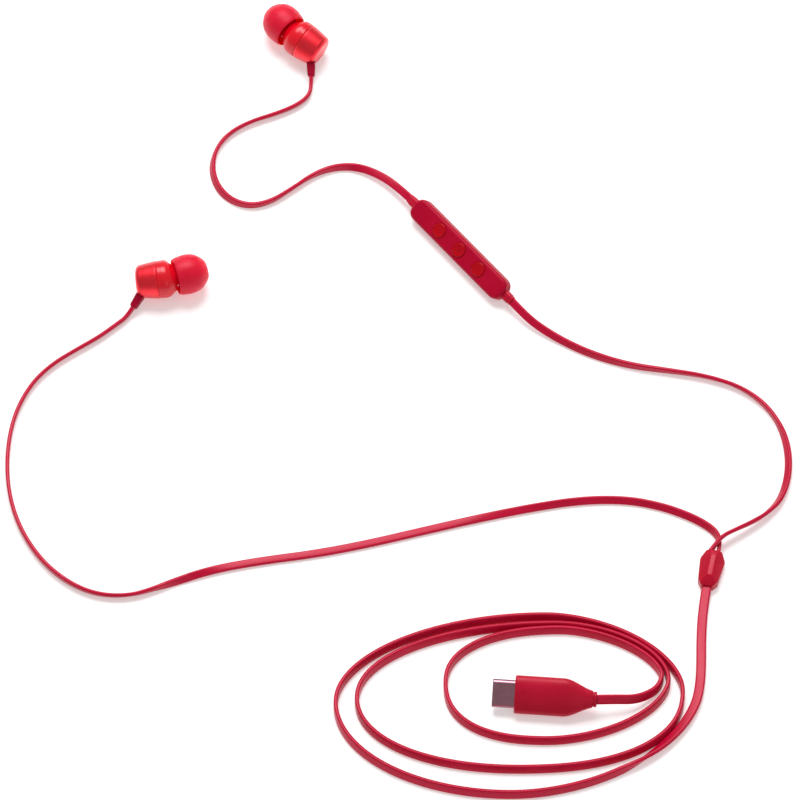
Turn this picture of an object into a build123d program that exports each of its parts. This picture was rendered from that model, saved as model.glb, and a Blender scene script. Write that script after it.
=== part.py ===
"""Wired in-ear earphones with a flat cable, an in-line remote and a USB-C plug.

All sizes are millimetres. The set lies on a surface at z = 0 as it would on a desk: two earpieces at the
back left, the remote between them and a small Y-split at the right, and the main lead laid in a flat coil
round its own plug. The origin is the middle of the surface under the two earpieces, +X points right, +Y
points away from the coil and +Z points up.
"""
import os
from math import cos, pi, radians, sin, tan

from build123d import *

os.makedirs("parts", exist_ok=True)

# ---------------------------------------------------------------- driving dimensions
SIDES = ("left", "right")
STANDING = (Align.CENTER, Align.CENTER, Align.MIN)
LYING = (Align.MIN, Align.CENTER, Align.CENTER)
FIT = 0.03                      # radial clearance of pieces that are pushed together
RUN = 0.05                      # radial clearance of pieces that slide

# Earpiece. Local frame: z runs from the flat back to the ear, x points to the cable side.
SHELL_R = 5.7                   # greatest radius, at the seam
SHELL_BACK_R = 5.05             # radius at the flat back
SHELL_CORNER_R = 1.1            # rounding between the flat back and the flank
SHELL_LEN = 6.7                 # back face to seam
SHELL_WALL = 0.8
SHOULDER_LEN = 2.2              # straight band of the front housing, in front of the seam
SPIGOT_LEN = 1.2                # how far the front housing reaches into the rear shell
NECK_R = 3.6                    # neck behind the ear tip
NOZZLE_PIVOT = 10.5             # where the nozzle's axis leaves the body's axis
NOZZLE_TILT = 17.0              # degrees between the two axes
NOZZLE_TURN = 132.0             # direction of that tilt about the body's axis, from +x
NOZZLE_R = 2.5
NOZZLE_LIP_R = 2.75
NOZZLE_BORE_R = 1.9
NOZZLE_END = 7.4                # end of the nozzle along its own axis, from the pivot
VENT_R = 0.2
VENT_AT = 1.1                   # vent's place along the nozzle's axis
VENT_TURN = 150.0               # and round it
SCREEN_STEP = 0.25              # step at the nozzle's mouth that carries the screen
SCREEN_DEPTH = 0.2

TIP_R = 6.0                     # widest radius of the silicone tip
TIP_RIM_R = 5.45                # radius of its open rim
TIP_START = 1.5                 # rim plane along the nozzle's axis
TIP_LEN = 9.6
TIP_WALL = 0.75
TIP_STEM_R = 3.5

DRIVER_R = 4.35
DRIVER_BACK = 6.2               # back of the driver along the body's axis
DRIVER_LEN = 3.2

RELIEF_ANGLE = 53.0             # degrees between the strain relief and the backward axis
RELIEF_BASE = (4.45, 0.65)      # local x and z of the point where its axis crosses the corner
RELIEF_W = 2.5
RELIEF_T = 2.9
RELIEF_OUT = 4.1                # length outside the shell
RELIEF_IN = 1.3                 # length inside the shell

# Where each earpiece lies: its flat back's centre, and the azimuth and rise of its axis.
EARPIECE_RISE = 7.5
EARPIECE_AT = {"left": (-28.44, -46.34), "right": (26.46, 35.56)}
EARPIECE_AZIMUTH = {"left": 2.6, "right": 144.7}
CABLE_SIDE_DROP = 18.0          # degrees by which the cable side turns down towards the surface

# Remote. Local frame: x runs down the cable, z out of the face with the buttons.
REMOTE_LEN = 41.4
REMOTE_W = 7.2
REMOTE_HALF_T = 2.4
REMOTE_WALL = 0.9
REMOTE_BEVEL = 1.1              # rounding round the face
REMOTE_BACK_BEVEL = 1.5
BUTTON_R = 2.3
BUTTON_FLANGE_R = 2.7
BUTTON_PITCH = 9.0
BUTTON_OFFSET = 0.6             # the middle button stands this far past the remote's middle
BUTTON_PROUD = 0.3              # how far a cap stands out of the face
BUTTON_TRAVEL = 0.3
NUB_R = 0.32                    # raised dot on the middle button
NUB_PROUD = 0.15
MIC_HOLE = (-3.9, 1.75)         # local x and y of the microphone's hole
MIC_HOLE_R = 0.3
CAN_FROM_HOLE = 0.65            # the microphone can's middle stands this far inside the hole
BOARD_LEN = 35.0
BOARD_W = 4.8
BOARD_LIFT = 0.2                # ledge under the board
BOARD_T = 0.6
LEDGE_AT = 14.5                 # local x of the two ledges
FLANGE_T = 0.4
FLANGE_GAP = 0.03
SWITCH_SIDE = 3.2
SWITCH_T = 1.0
PLUNGER_R = 0.8
SLEEVE_LEN = 3.2                # cable sleeve outside the remote
SLEEVE_IN = 1.6
SLEEVE_W = 3.1
SLEEVE_T = 2.3
BOARD_LOW = -REMOTE_HALF_T + REMOTE_WALL + BOARD_LIFT
BOARD_TOP = BOARD_LOW + BOARD_T
FLANGE_TOP = REMOTE_HALF_T - REMOTE_WALL - FLANGE_GAP
REMOTE_AT = (68.95, -34.1)
REMOTE_AZIMUTH = -49.9
REMOTE_ROLL = 35.0              # the face turns towards the front

# Y-split. Local frame: x runs towards the main lead, z up.
SPLIT_AT = (141.95, -143.1)
SPLIT_AZIMUTH = -102.4
SPLIT_T = 4.6
SPLIT_BACK = 5.5                # middle to the end where the two branches enter
SPLIT_FRONT = 6.0               # middle to the end where the main lead leaves

# Plug. Local frame: x runs from the connector to the cable, z out of the broad face.
PLUG_LEN = 23.9
PLUG_W = 11.3
PLUG_T = 5.4
PLUG_STRAIGHT = 14.6            # length before the taper
PLUG_END_W = 4.6
PLUG_END_T = 3.2
USB_W = 8.34
USB_T = 2.56
USB_OUT = 6.5                   # connector shell outside the overmould
USB_IN = 3.6
USB_WALL = 0.3
SLOT_LEN = 5.9                  # slot for the socket's tongue
SLOT_W = 6.8
SLOT_T = 1.0
CONTACTS_PER_ROW = 12
CONTACT_PITCH = 0.5
PLUG_EXIT = (107.8, -187.7)     # where the cable leaves the plug
PLUG_AZIMUTH = -4.2
PLUG_ROLL = 38.0

# Cable. The flat cable is 2.5 x 1.1 in the branches and 2.9 x 1.2 in the main lead.
# Its solids are round tubes of the same section area.
BRANCH_D = 1.9
MAIN_D = 2.1
COIL_HEIGHT = 2.9
COIL_OUTER = (84.75, -187.4, 54.2, 30.8)        # centre x, centre y and the two half axes
COIL_INNER = (95.35, -181.0, 30.0, 17.0)
LEAD_HEIGHT = 1.3               # height of the main lead's middle on the surface


# ---------------------------------------------------------------- helpers
def save(shape, node):
    """Name one sub-part and write it to its own STEP file."""
    shape.label = node
    export_step(shape, f"parts/{node}.step")


def turned(points):
    """Revolve a closed (radius, height) outline about the local z axis."""
    outline = make_face(Polyline([(r, 0, z) for r, z in points], close=True))
    return revolve(outline, Axis.Z)


def disc(radius, low, high):
    """Plain cylinder about the local z axis, between two heights."""
    return Pos(0, 0, low) * Cylinder(radius, high - low, align=STANDING)


# ---------------------------------------------------------------- earpiece, in its local frame
def nozzle_plane(offset, turn_share=1.0):
    """Plane across the nozzle at a distance past the pivot, with a share of the full tilt."""
    tilt = radians(NOZZLE_TILT * turn_share)
    turn = radians(NOZZLE_TURN)
    axis = Vector(sin(tilt) * cos(turn), sin(tilt) * sin(turn), cos(tilt))
    return Plane(origin=Vector(0, 0, NOZZLE_PIVOT) + axis * offset, z_dir=axis)


def rear_shell():
    """Turned metal cup that closes the back, with a hole at its corner for the strain relief."""
    corner = SHELL_CORNER_R
    outer = [(0, 0), (SHELL_BACK_R - corner, 0)]
    for step in range(1, 7):
        angle = radians(15 * step)
        outer.append((SHELL_BACK_R - corner * (1 - sin(angle)), corner * (1 - cos(angle))))
    outer += [(SHELL_R - 0.18, SHELL_LEN - 1.9), (SHELL_R, SHELL_LEN - 0.25), (SHELL_R - 0.12, SHELL_LEN)]
    bore = SHELL_R - SHELL_WALL
    inner = [(bore, SHELL_LEN), (bore, SHELL_LEN - 2.4), (SHELL_BACK_R - SHELL_WALL - 0.1, 1.9)]
    inner += [(SHELL_BACK_R - SHELL_WALL - 0.8, SHELL_WALL), (0, SHELL_WALL)]
    shell = turned(outer + inner)
    return shell - relief_frame() * Box(RELIEF_W + 2 * FIT, RELIEF_T + 2 * FIT, 4 * RELIEF_IN)


def relief_frame():
    """Location on the shell's corner whose z axis runs out along the strain relief."""
    angle = radians(RELIEF_ANGLE)
    out = Vector(sin(angle), 0, -cos(angle))
    across = Vector(cos(angle), 0, sin(angle))
    return Plane(origin=(RELIEF_BASE[0], 0, RELIEF_BASE[1]), x_dir=across, z_dir=out).location


def strain_relief():
    """Short block with a tapered end that leads the flat cable out of the shell's corner."""
    taper = 1.1
    body = Pos(0, 0, -RELIEF_IN) * Box(RELIEF_W, RELIEF_T, RELIEF_IN + RELIEF_OUT - taper, align=STANDING)
    body = fillet(body.edges().filter_by(Axis.Z), 0.45)
    start = Pos(0, 0, RELIEF_OUT - taper) * RectangleRounded(RELIEF_W, RELIEF_T, 0.45)
    end = Pos(0, 0, RELIEF_OUT) * RectangleRounded(RELIEF_W - 1.0, RELIEF_T - 0.3, 0.45)
    return relief_frame() * (body + loft([start, end]))


def front_housing():
    """Front half of the body: a band, a shoulder that turns into the tilted neck, and the nozzle."""
    band_top = SHELL_LEN + SHOULDER_LEN
    housing = disc(SHELL_R, SHELL_LEN, band_top)
    rings = [(band_top, SHELL_R, 0.0), (9.75, 5.42, 0.1), (10.45, 4.7, 0.35)]
    sections = [Plane(origin=(0, 0, z), z_dir=nozzle_plane(0, share).z_dir) * Circle(r)
                for z, r, share in rings]
    sections += [nozzle_plane(0.75, 0.75) * Circle(4.02), nozzle_plane(1.6) * Circle(NECK_R)]
    housing += loft(sections)
    neck = nozzle_plane(0)
    housing += neck.location * disc(NECK_R, 1.6, 2.6)
    housing += neck.location * disc(NOZZLE_R, 0, NOZZLE_END)
    housing += neck.location * disc(NOZZLE_LIP_R, NOZZLE_END - 1.2, NOZZLE_END - 0.2)
    housing += disc(SHELL_R - SHELL_WALL - FIT, SHELL_LEN - SPIGOT_LEN, SHELL_LEN)
    housing -= disc(DRIVER_R + FIT, SHELL_LEN - SPIGOT_LEN, DRIVER_BACK + DRIVER_LEN)
    housing -= neck.location * disc(NOZZLE_BORE_R, -0.6, NOZZLE_END)
    housing -= neck.location * disc(NOZZLE_BORE_R + SCREEN_STEP, NOZZLE_END - SCREEN_DEPTH, NOZZLE_END)
    outwards = neck.location * Pos(0, 0, VENT_AT) * Rot(0, 0, VENT_TURN) * Rot(0, 90, 0)
    vent = outwards * Cylinder(VENT_R, 2 * SHELL_R, align=STANDING)
    return housing - vent


def nozzle_mesh():
    """Thin round screen that rests in a step at the nozzle's mouth."""
    screen = disc(NOZZLE_BORE_R + SCREEN_STEP - FIT, NOZZLE_END - SCREEN_DEPTH, NOZZLE_END - 0.05)
    return nozzle_plane(0).location * screen


def ear_tip():
    """Soft silicone dome with an open rim at the back and a stem that grips the nozzle."""
    dome = [(0.0, 5.45), (1.6, 5.84), (3.3, 6.0), (5.0, 5.84)]
    dome += [(6.5, 5.36), (7.7, 4.62), (8.7, 3.6), (9.35, 2.75)]
    scale_r = TIP_R / 6.0
    outer = [(r * scale_r, TIP_START + z) for z, r in dome]
    bore_r = NOZZLE_LIP_R + RUN
    front = TIP_START + TIP_LEN
    mouth_r = NOZZLE_BORE_R
    outline = outer + [(mouth_r + 0.25, front), (mouth_r, front - 0.3), (mouth_r, NOZZLE_END + 0.15)]
    outline += [(bore_r, NOZZLE_END + 0.15), (bore_r, TIP_START + 1.3), (TIP_STEM_R, TIP_START + 1.3)]
    outline += [(TIP_STEM_R, TIP_START + 6.4), (3.9, TIP_START + 6.9)]
    hollow = [(4.55, TIP_START + 6.4), (5.05, TIP_START + 5.0), (TIP_R - TIP_WALL, TIP_START + 3.3),
              (TIP_R - TIP_WALL + 0.02, TIP_START + 1.6), (TIP_RIM_R - 0.45, TIP_START)]
    return nozzle_plane(0).location * turned(outline + hollow)


def driver_basket():
    """Pressed cup that carries the magnet and clamps the diaphragm's edge."""
    ring = disc(DRIVER_R, DRIVER_BACK, DRIVER_BACK + DRIVER_LEN) - disc(DRIVER_R - 0.3, DRIVER_BACK + 0.3, 12)
    for step in range(4):
        ring -= Rot(0, 0, 45 + 90 * step) * Pos(3.3, 0, DRIVER_BACK) * Cylinder(0.45, 2)
    return ring


def driver_magnet():
    """Disc magnet with its top plate, standing on the basket's floor."""
    return disc(2.5, DRIVER_BACK + 0.3, DRIVER_BACK + 2.0)


def voice_coil():
    """Ring of fine wire that hangs from the diaphragm round the magnet."""
    return disc(2.95, DRIVER_BACK + 1.2, DRIVER_BACK + 2.4) - disc(2.65, DRIVER_BACK + 1.1, DRIVER_BACK + 2.5)


def diaphragm():
    """Thin film with a raised centre dome and a flat edge, glued into the basket's mouth."""
    low = DRIVER_BACK + 2.4
    top = [(0, low + 0.62), (1.5, low + 0.5), (2.6, low + 0.12), (3.0, low + 0.12), (3.5, low + 0.34)]
    top += [(3.9, low + 0.12), (DRIVER_R - 0.3 - FIT, low + 0.12)]
    under = [(r, z - 0.12) for r, z in reversed(top)]
    return turned(top + under)


EARPIECE_PIECES = {
    "rear_shell": rear_shell,
    "front_housing": front_housing,
    "nozzle_mesh": nozzle_mesh,
    "ear_tip": ear_tip,
    "driver_basket": driver_basket,
    "driver_magnet": driver_magnet,
    "voice_coil": voice_coil,
    "diaphragm": diaphragm,
    "strain_relief": strain_relief,
}


def earpiece_plane(side, height=0.0):
    """Frame of one earpiece as it lies: z along its axis, x towards the cable side."""
    azimuth = radians(EARPIECE_AZIMUTH[side])
    rise = radians(EARPIECE_RISE)
    axis = Vector(cos(azimuth) * cos(rise), sin(azimuth) * cos(rise), sin(rise))
    hand = -1 if side == "left" else 1
    level = Vector(-sin(azimuth), cos(azimuth), 0) * hand
    drop = radians(CABLE_SIDE_DROP)
    cable_side = level * cos(drop) - axis.cross(level) * (hand * sin(drop))
    return Plane(origin=(*EARPIECE_AT[side], height), x_dir=cable_side, z_dir=axis)


def build_earpiece(side):
    """Build one earpiece's pieces, mirrored for the right ear, and stand it on the surface."""
    pieces = {name: make() for name, make in EARPIECE_PIECES.items()}
    if side == "right":
        pieces = {name: mirror(shape, about=Plane.XZ) for name, shape in pieces.items()}
    return placed_on_surface(pieces, earpiece_plane(side).location)


# ---------------------------------------------------------------- remote, in its local frame
def slot_prism(length, width, low, high):
    """Upright block with half-round ends, between two heights."""
    return Pos(0, 0, low) * extrude(SlotOverall(length, width), high - low)


def button_places():
    """Local x of the three buttons, from the upper end of the remote to the lower."""
    return [BUTTON_OFFSET + BUTTON_PITCH * step for step in (-1, 0, 1)]


def sleeve_block(end, grow=0.0):
    """Rounded bar through one end wall of the remote; end is -1 for the upper and 1 for the lower."""
    start = end * (REMOTE_LEN / 2 - SLEEVE_IN)
    bar = extrude(RectangleRounded(SLEEVE_W + 2 * grow, SLEEVE_T + 2 * grow, 0.9), SLEEVE_LEN + SLEEVE_IN)
    return Pos(start, 0, 0) * Rot(0, 90 * end, 0) * Rot(0, 0, 90) * bar


def hollow_cover(low, high, bevel, bevel_at_top):
    """Half of the remote's case: a rounded slot with its outer rim bevelled and its inside cut out."""
    cover = slot_prism(REMOTE_LEN, REMOTE_W, low, high)
    rim = cover.faces().sort_by(Axis.Z)[-1 if bevel_at_top else 0].edges()
    cover = fillet(rim, bevel)
    room_l = REMOTE_LEN - 2 * REMOTE_WALL
    room_w = REMOTE_W - 2 * REMOTE_WALL
    if bevel_at_top:
        cover -= slot_prism(room_l, room_w, low, high - REMOTE_WALL)
    else:
        cover -= slot_prism(room_l, room_w, low + REMOTE_WALL, high)
    return cover - sleeve_block(-1, FIT) - sleeve_block(1, FIT)


def remote_front_cover():
    """Face of the remote, with a hole for each button and one for the microphone."""
    cover = hollow_cover(0, REMOTE_HALF_T, REMOTE_BEVEL, True)
    for x in button_places():
        cover -= Pos(x, 0, 0) * disc(BUTTON_R + RUN, 0, REMOTE_HALF_T + 1)
    return cover - Pos(*MIC_HOLE, 0) * disc(MIC_HOLE_R, 0, REMOTE_HALF_T + 1)


def remote_back_cover():
    """Back of the remote, with two ledges that carry the board."""
    cover = hollow_cover(-REMOTE_HALF_T, 0, REMOTE_BACK_BEVEL, False)
    ledge = Pos(0, 0, -REMOTE_HALF_T + REMOTE_WALL) * Box(4, 4.4, BOARD_LIFT, align=STANDING)
    return cover + Pos(-LEDGE_AT, 0, 0) * ledge + Pos(LEDGE_AT, 0, 0) * ledge


def switch_board():
    """Circuit board that carries the three switches and the microphone."""
    return slot_prism(BOARD_LEN, BOARD_W, BOARD_LOW, BOARD_TOP)


def tact_switches():
    """Three push switches in a row: a square can with a round plunger each."""
    plunger_top = FLANGE_TOP - FLANGE_T - BUTTON_TRAVEL - FLANGE_GAP
    switches = []
    for x in button_places():
        can = Pos(x, 0, BOARD_TOP) * Box(SWITCH_SIDE, SWITCH_SIDE, SWITCH_T, align=STANDING)
        switches.append(can + Pos(x, 0, 0) * disc(PLUNGER_R, BOARD_TOP + SWITCH_T, plunger_top))
    return Compound(children=switches)


def microphone():
    """Small microphone can, under its hole in the face."""
    return Pos(MIC_HOLE[0], MIC_HOLE[1] - CAN_FROM_HOLE, BOARD_TOP) * Box(2.4, 1.9, 0.9, align=STANDING)


def button(with_nub):
    """Domed cap on a thin flange that keeps it behind the face; the middle one has a nub to feel."""
    top = REMOTE_HALF_T + BUTTON_PROUD
    dome = [(0, top), (BUTTON_R * 0.55, top - 0.05), (BUTTON_R * 0.85, top - 0.16), (BUTTON_R, top - 0.38)]
    flange = [(BUTTON_R, FLANGE_TOP), (BUTTON_FLANGE_R, FLANGE_TOP)]
    flange += [(BUTTON_FLANGE_R, FLANGE_TOP - FLANGE_T), (0, FLANGE_TOP - FLANGE_T)]
    cap = turned(dome + flange)
    if with_nub:
        cap += disc(NUB_R, top - 0.2, top + NUB_PROUD)
    return cap


# ---------------------------------------------------------------- Y-split, in its local frame
def y_split():
    """Faceted block where the two branches join: outline, cross-section and side profile, intersected."""
    outline = [(-SPLIT_BACK, 2.35), (-3.0, 3.75), (4.4, 2.95), (SPLIT_FRONT, 1.75)]
    outline += [(SPLIT_FRONT, -1.75), (4.4, -2.95), (-3.0, -3.75), (-SPLIT_BACK, -2.35)]
    plan = extrude(make_face(Polyline(outline, close=True)), SPLIT_T)
    section = [(-3.8, 1.3), (-3.0, 0.0), (3.0, 0.0), (3.8, 1.3), (3.6, 2.5), (0.55, SPLIT_T), (-0.2, SPLIT_T)]
    section += [(-3.6, 2.3)]
    bar = Pos(-SPLIT_BACK, 0, 0) * extrude(Plane.YZ * make_face(Polyline(section, close=True)), 12)
    side = [(-SPLIT_BACK, 0.0), (-SPLIT_BACK, 4.1), (-3.4, SPLIT_T), (3.2, SPLIT_T), (SPLIT_FRONT, 2.9)]
    side += [(SPLIT_FRONT, 0.0)]
    wall = Pos(0, 4, 0) * extrude(Plane.XZ * make_face(Polyline(side, close=True)), 8)
    return plan & bar & wall


# ---------------------------------------------------------------- plug, in its local frame
def plug_sections():
    """Places along the plug's taper, each with its width, thickness and corner radius."""
    shares = [(0.0, 1.0), (0.2, 0.955), (0.38, 0.79), (0.56, 0.5), (0.74, 0.24), (0.88, 0.08), (1.0, 0.0)]
    rows = []
    for along, share in shares:
        x = PLUG_STRAIGHT + (PLUG_LEN - PLUG_STRAIGHT) * along
        width = PLUG_END_W + (PLUG_W - PLUG_END_W) * share
        thick = PLUG_END_T + (PLUG_T - PLUG_END_T) * share
        rows.append((x, width, thick, 0.36 * thick))
    return rows


def plug_overmould():
    """Soft body of the plug: a rounded bar that tapers to a collar round the cable, with room inside."""
    across = Plane.YZ
    body = extrude(across * RectangleRounded(PLUG_W, PLUG_T, 0.36 * PLUG_T), PLUG_STRAIGHT)
    body = fillet(body.faces().sort_by(Axis.X)[0].edges(), 0.45)
    body += loft([across.offset(x) * RectangleRounded(w, t, r) for x, w, t, r in plug_sections()])
    seat = extrude(across * RectangleRounded(USB_W + 2 * FIT, USB_T + 2 * FIT, 1.25), USB_IN + 1)
    body -= Pos(-1, 0, 0) * seat
    return body - Pos(USB_IN, 0, 0) * Box(14.0, 8.2, 3.2, align=LYING)


def usb_shell():
    """Drawn metal shell of the connector, a tube with round sides."""
    across = Plane.YZ.offset(-USB_OUT)
    outer = RectangleRounded(USB_W, USB_T, USB_T / 2 - 0.01)
    inner = RectangleRounded(USB_W - 2 * USB_WALL, USB_T - 2 * USB_WALL, USB_T / 2 - USB_WALL - 0.01)
    return extrude(across * (outer - inner), USB_OUT + USB_IN)


def usb_insulator():
    """Moulded insert inside the shell, with the slot that takes the socket's tongue."""
    width = USB_W - 2 * USB_WALL - 2 * FIT
    thick = USB_T - 2 * USB_WALL - 2 * FIT
    across = Plane.YZ.offset(-USB_OUT + 0.25)
    insert = extrude(across * RectangleRounded(width, thick, thick / 2 - 0.01), USB_OUT + USB_IN - 0.25)
    return insert - Pos(-USB_OUT, 0, 0) * Box(SLOT_LEN, SLOT_W, SLOT_T, align=LYING)


def usb_contacts():
    """Two facing rows of contact blades along the slot's long walls."""
    blades = []
    for row in (-1, 1):
        for step in range(CONTACTS_PER_ROW):
            y = (step - (CONTACTS_PER_ROW - 1) / 2) * CONTACT_PITCH
            blades.append(Pos(-USB_OUT + 3.4, y, row * 0.43) * Box(4.6, 0.25, 0.14))
    return Compound(children=blades)


def dac_board():
    """Small circuit board with the audio converter, behind the connector."""
    return Pos(USB_IN, 0, 0) * Box(13.4, 7.4, 0.8, align=LYING)


def dac_chip():
    """Audio converter chip on the board."""
    return Pos(USB_IN + 7.0, 0, 0.4) * Box(4.0, 4.0, 0.8, align=STANDING)


# ---------------------------------------------------------------- placing
def placed_on_surface(pieces, frame):
    """Put pieces in their frame and lift them until the lowest one touches the surface."""
    lowest = min((frame * shape).bounding_box().min.Z for shape in pieces.values())
    lifted = Pos(0, 0, -lowest)
    return {name: lifted * frame * shape for name, shape in pieces.items()}, -lowest


def rolled_plane(place, azimuth, roll):
    """Level frame at a place on the surface, turned to an azimuth and rolled about its own x axis."""
    return Pos(*place, 0) * Rot(0, 0, azimuth) * Rot(roll, 0, 0)


def build_remote():
    """Build the remote's pieces and stand it on the surface; also gives its height."""
    pieces = {
        "remote_front_cover": remote_front_cover(),
        "remote_back_cover": remote_back_cover(),
        "remote_switch_board": switch_board(),
        "remote_tact_switches": tact_switches(),
        "remote_microphone": microphone(),
        "remote_upper_sleeve": sleeve_block(-1),
        "remote_lower_sleeve": sleeve_block(1),
    }
    names = ("button_volume_up", "button_play", "button_volume_down")
    for x, name in zip(button_places(), names):
        pieces[name] = Pos(x, 0, 0) * button(name == "button_play")
    return placed_on_surface(pieces, rolled_plane(REMOTE_AT, REMOTE_AZIMUTH, REMOTE_ROLL))


def build_plug():
    """Build the plug's pieces and stand it on the surface; also gives its height."""
    pieces = {
        "plug_overmould": plug_overmould(),
        "usb_shell": usb_shell(),
        "usb_insulator": usb_insulator(),
        "usb_contacts": usb_contacts(),
        "dac_board": dac_board(),
        "dac_chip": dac_chip(),
    }
    frame = rolled_plane(PLUG_EXIT, PLUG_AZIMUTH, PLUG_ROLL) * Pos(-PLUG_LEN, 0, 0)
    return placed_on_surface(pieces, frame)


# ---------------------------------------------------------------- cable
def arc_radii(points):
    """Radius of each corner: 0.45 of the shorter run, over the tangent of half the turn."""
    radii = []
    for before, here, after in zip(points, points[1:], points[2:]):
        run_in = Vector(*here) - Vector(*before)
        run_out = Vector(*after) - Vector(*here)
        half_turn = radians(run_in.get_angle(run_out) / 2)
        radii.append(0.45 * min(run_in.length, run_out.length) / tan(half_turn))
    return radii


def cable_tube(name, points, diameter):
    """Sweep a round tube along straight runs joined by tangent arcs."""
    radii = arc_radii(points)
    path = FilletPolyline(*points, radius=radii)
    start = Plane(origin=path @ 0, z_dir=path % 0)
    tube = sweep(start * Circle(diameter / 2), path=path)
    expected = pi * diameter ** 2 / 4 * path.length
    print(f"{name}: length {path.length:.1f}, smallest radius {min(radii):.1f},"
          f" volume {tube.volume:.1f} of {expected:.1f}, lowest {tube.bounding_box().min.Z:.2f}")
    print("   radii", [round(r, 1) for r in radii])
    return tube


def relief_exit(side, height):
    """Point and direction in which the cable leaves an earpiece's strain relief."""
    frame = earpiece_plane(side, height).location * relief_frame()
    tip = (frame * Pos(0, 0, RELIEF_OUT)).position
    base = frame.position
    return tip, (tip - base).normalized()


def split_point(along, across, height):
    """Point of the Y-split's local frame, on the whole set's frame."""
    angle = radians(SPLIT_AZIMUTH)
    return (SPLIT_AT[0] + along * cos(angle) - across * sin(angle),
            SPLIT_AT[1] + along * sin(angle) + across * cos(angle), height)


def remote_end(end, height, beyond=0.0):
    """Point on the remote's axis at the mouth of a sleeve, or beyond it."""
    reach = end * (REMOTE_LEN / 2 + SLEEVE_LEN + beyond)
    angle = radians(REMOTE_AZIMUTH)
    return (REMOTE_AT[0] + reach * cos(angle), REMOTE_AT[1] + reach * sin(angle), height)


def earpiece_start(side, height):
    """First two points of a branch: the strain relief's mouth and the place where it meets the surface."""
    mouth, out = relief_exit(side, height)
    down = mouth + out * 3.4
    return [tuple(mouth), tuple(down)]


LEFT_ROUTE = [
    (-34.6, -59.2, 1.25), (-39.8, -63.6, 1.25), (-46.6, -68.0, 1.25), (-53.6, -73.0, 1.25),
    (-59.8, -80.0, 1.25), (-64.6, -91.2, 1.25), (-66.2, -105.4, 1.25), (-64.8, -119.4, 1.25),
    (-60.2, -132.0, 1.25), (-52.2, -143.2, 1.25), (-41.2, -150.6, 1.2), (-29.6, -151.9, 1.2),
    (-18.2, -148.0, 1.2), (-5.2, -142.8, 1.1), (10.2, -139.6, 1.1), (25.8, -137.3, 1.1),
    (41.0, -134.0, 1.1), (56.8, -129.8, 1.1), (73.0, -125.6, 1.1), (89.0, -122.0, 1.1),
    (104.0, -119.4, 1.1), (117.4, -119.2, 1.1), (127.6, -121.4, 1.1), (135.0, -124.4, 1.0),
    (139.6, -126.9, 0.95), (143.2, -129.7, 0.95), (144.7, -132.4, 0.95), (145.0, -135.2, 1.0),
]
RIGHT_UPPER_ROUTE = [
    (22.4, 21.8, 1.25), (18.6, 18.6, 1.25), (12.6, 15.8, 1.25), (5.4, 13.3, 1.25), (-1.2, 9.2, 1.2),
    (-5.6, 3.2, 1.15), (-6.8, -4.0, 1.1), (-4.8, -10.8, 1.1), (-0.4, -15.6, 1.15), (5.6, -17.4, 1.2),
    (11.8, -15.6, 1.25), (17.4, -11.4, 1.25), (23.6, -6.4, 1.25), (30.4, -3.4, 1.3), (37.9, -3.3, 1.4),
    (45.1, -7.0, 2.1),
]
RIGHT_LOWER_ROUTE = [
    (91.8, -60.0, 2.1), (99.4, -65.0, 1.35), (108.4, -69.7, 1.25), (119.0, -73.3, 1.25),
    (130.8, -75.1, 1.25), (142.0, -76.9, 1.25), (152.0, -80.4, 1.25), (160.2, -87.2, 1.25),
    (165.2, -97.0, 1.2), (166.3, -108.2, 1.2), (163.8, -118.6, 1.3), (158.8, -124.4, 1.7),
    (154.4, -127.6, 2.3), (149.8, -130.2, 3.0), (146.0, -132.4, 3.25), (143.6, -134.8, 3.1),
]
MAIN_LEAD_ROUTE = [(139.4, -156.2, 1.3), (138.7, -165.6, 1.3), (138.5, -174.6, 1.3)]
PLUG_LEAD_ROUTE = [(125.6, -182.4, 1.6), (122.8, -184.7, 2.2), (118.6, -186.3, 3.3), (113.4, -187.2, 4.3)]


def main_coil():
    """Outer shape of the coiled main lead: one flat ring between two ovals."""
    outer_x, outer_y, outer_a, outer_b = COIL_OUTER
    inner_x, inner_y, inner_a, inner_b = COIL_INNER
    hole = Pos(inner_x, inner_y) * Ellipse(inner_a, inner_b)
    return extrude(Pos(outer_x, outer_y) * Ellipse(outer_a, outer_b) - hole, COIL_HEIGHT)


def build_cables(ear_height, remote_height, plug_height):
    """Build the cable's solids between the pieces that it joins."""
    left = earpiece_start("left", ear_height) + LEFT_ROUTE + [split_point(-SPLIT_BACK, 1.15, 1.4)]
    upper = earpiece_start("right", ear_height) + RIGHT_UPPER_ROUTE
    upper += [remote_end(-1, remote_height - 0.3, 4.4), remote_end(-1, remote_height)]
    lower = [remote_end(1, remote_height), remote_end(1, remote_height - 0.4, 4.8)]
    lower += RIGHT_LOWER_ROUTE + [split_point(-SPLIT_BACK, -1.15, 2.8)]
    lead = [split_point(SPLIT_FRONT, 0, 1.6)] + MAIN_LEAD_ROUTE + [(137.6, -181.6, 1.3)]
    tail = PLUG_LEAD_ROUTE + [(*PLUG_EXIT, plug_height)]
    return {
        "left_cable": cable_tube("left_cable", left, BRANCH_D),
        "right_cable_upper": cable_tube("right_cable_upper", upper, BRANCH_D),
        "right_cable_lower": cable_tube("right_cable_lower", lower, BRANCH_D),
        "main_lead": cable_tube("main_lead", lead, MAIN_D),
        "main_coil": main_coil(),
        "plug_lead": cable_tube("plug_lead", tail, MAIN_D),
    }


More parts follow.
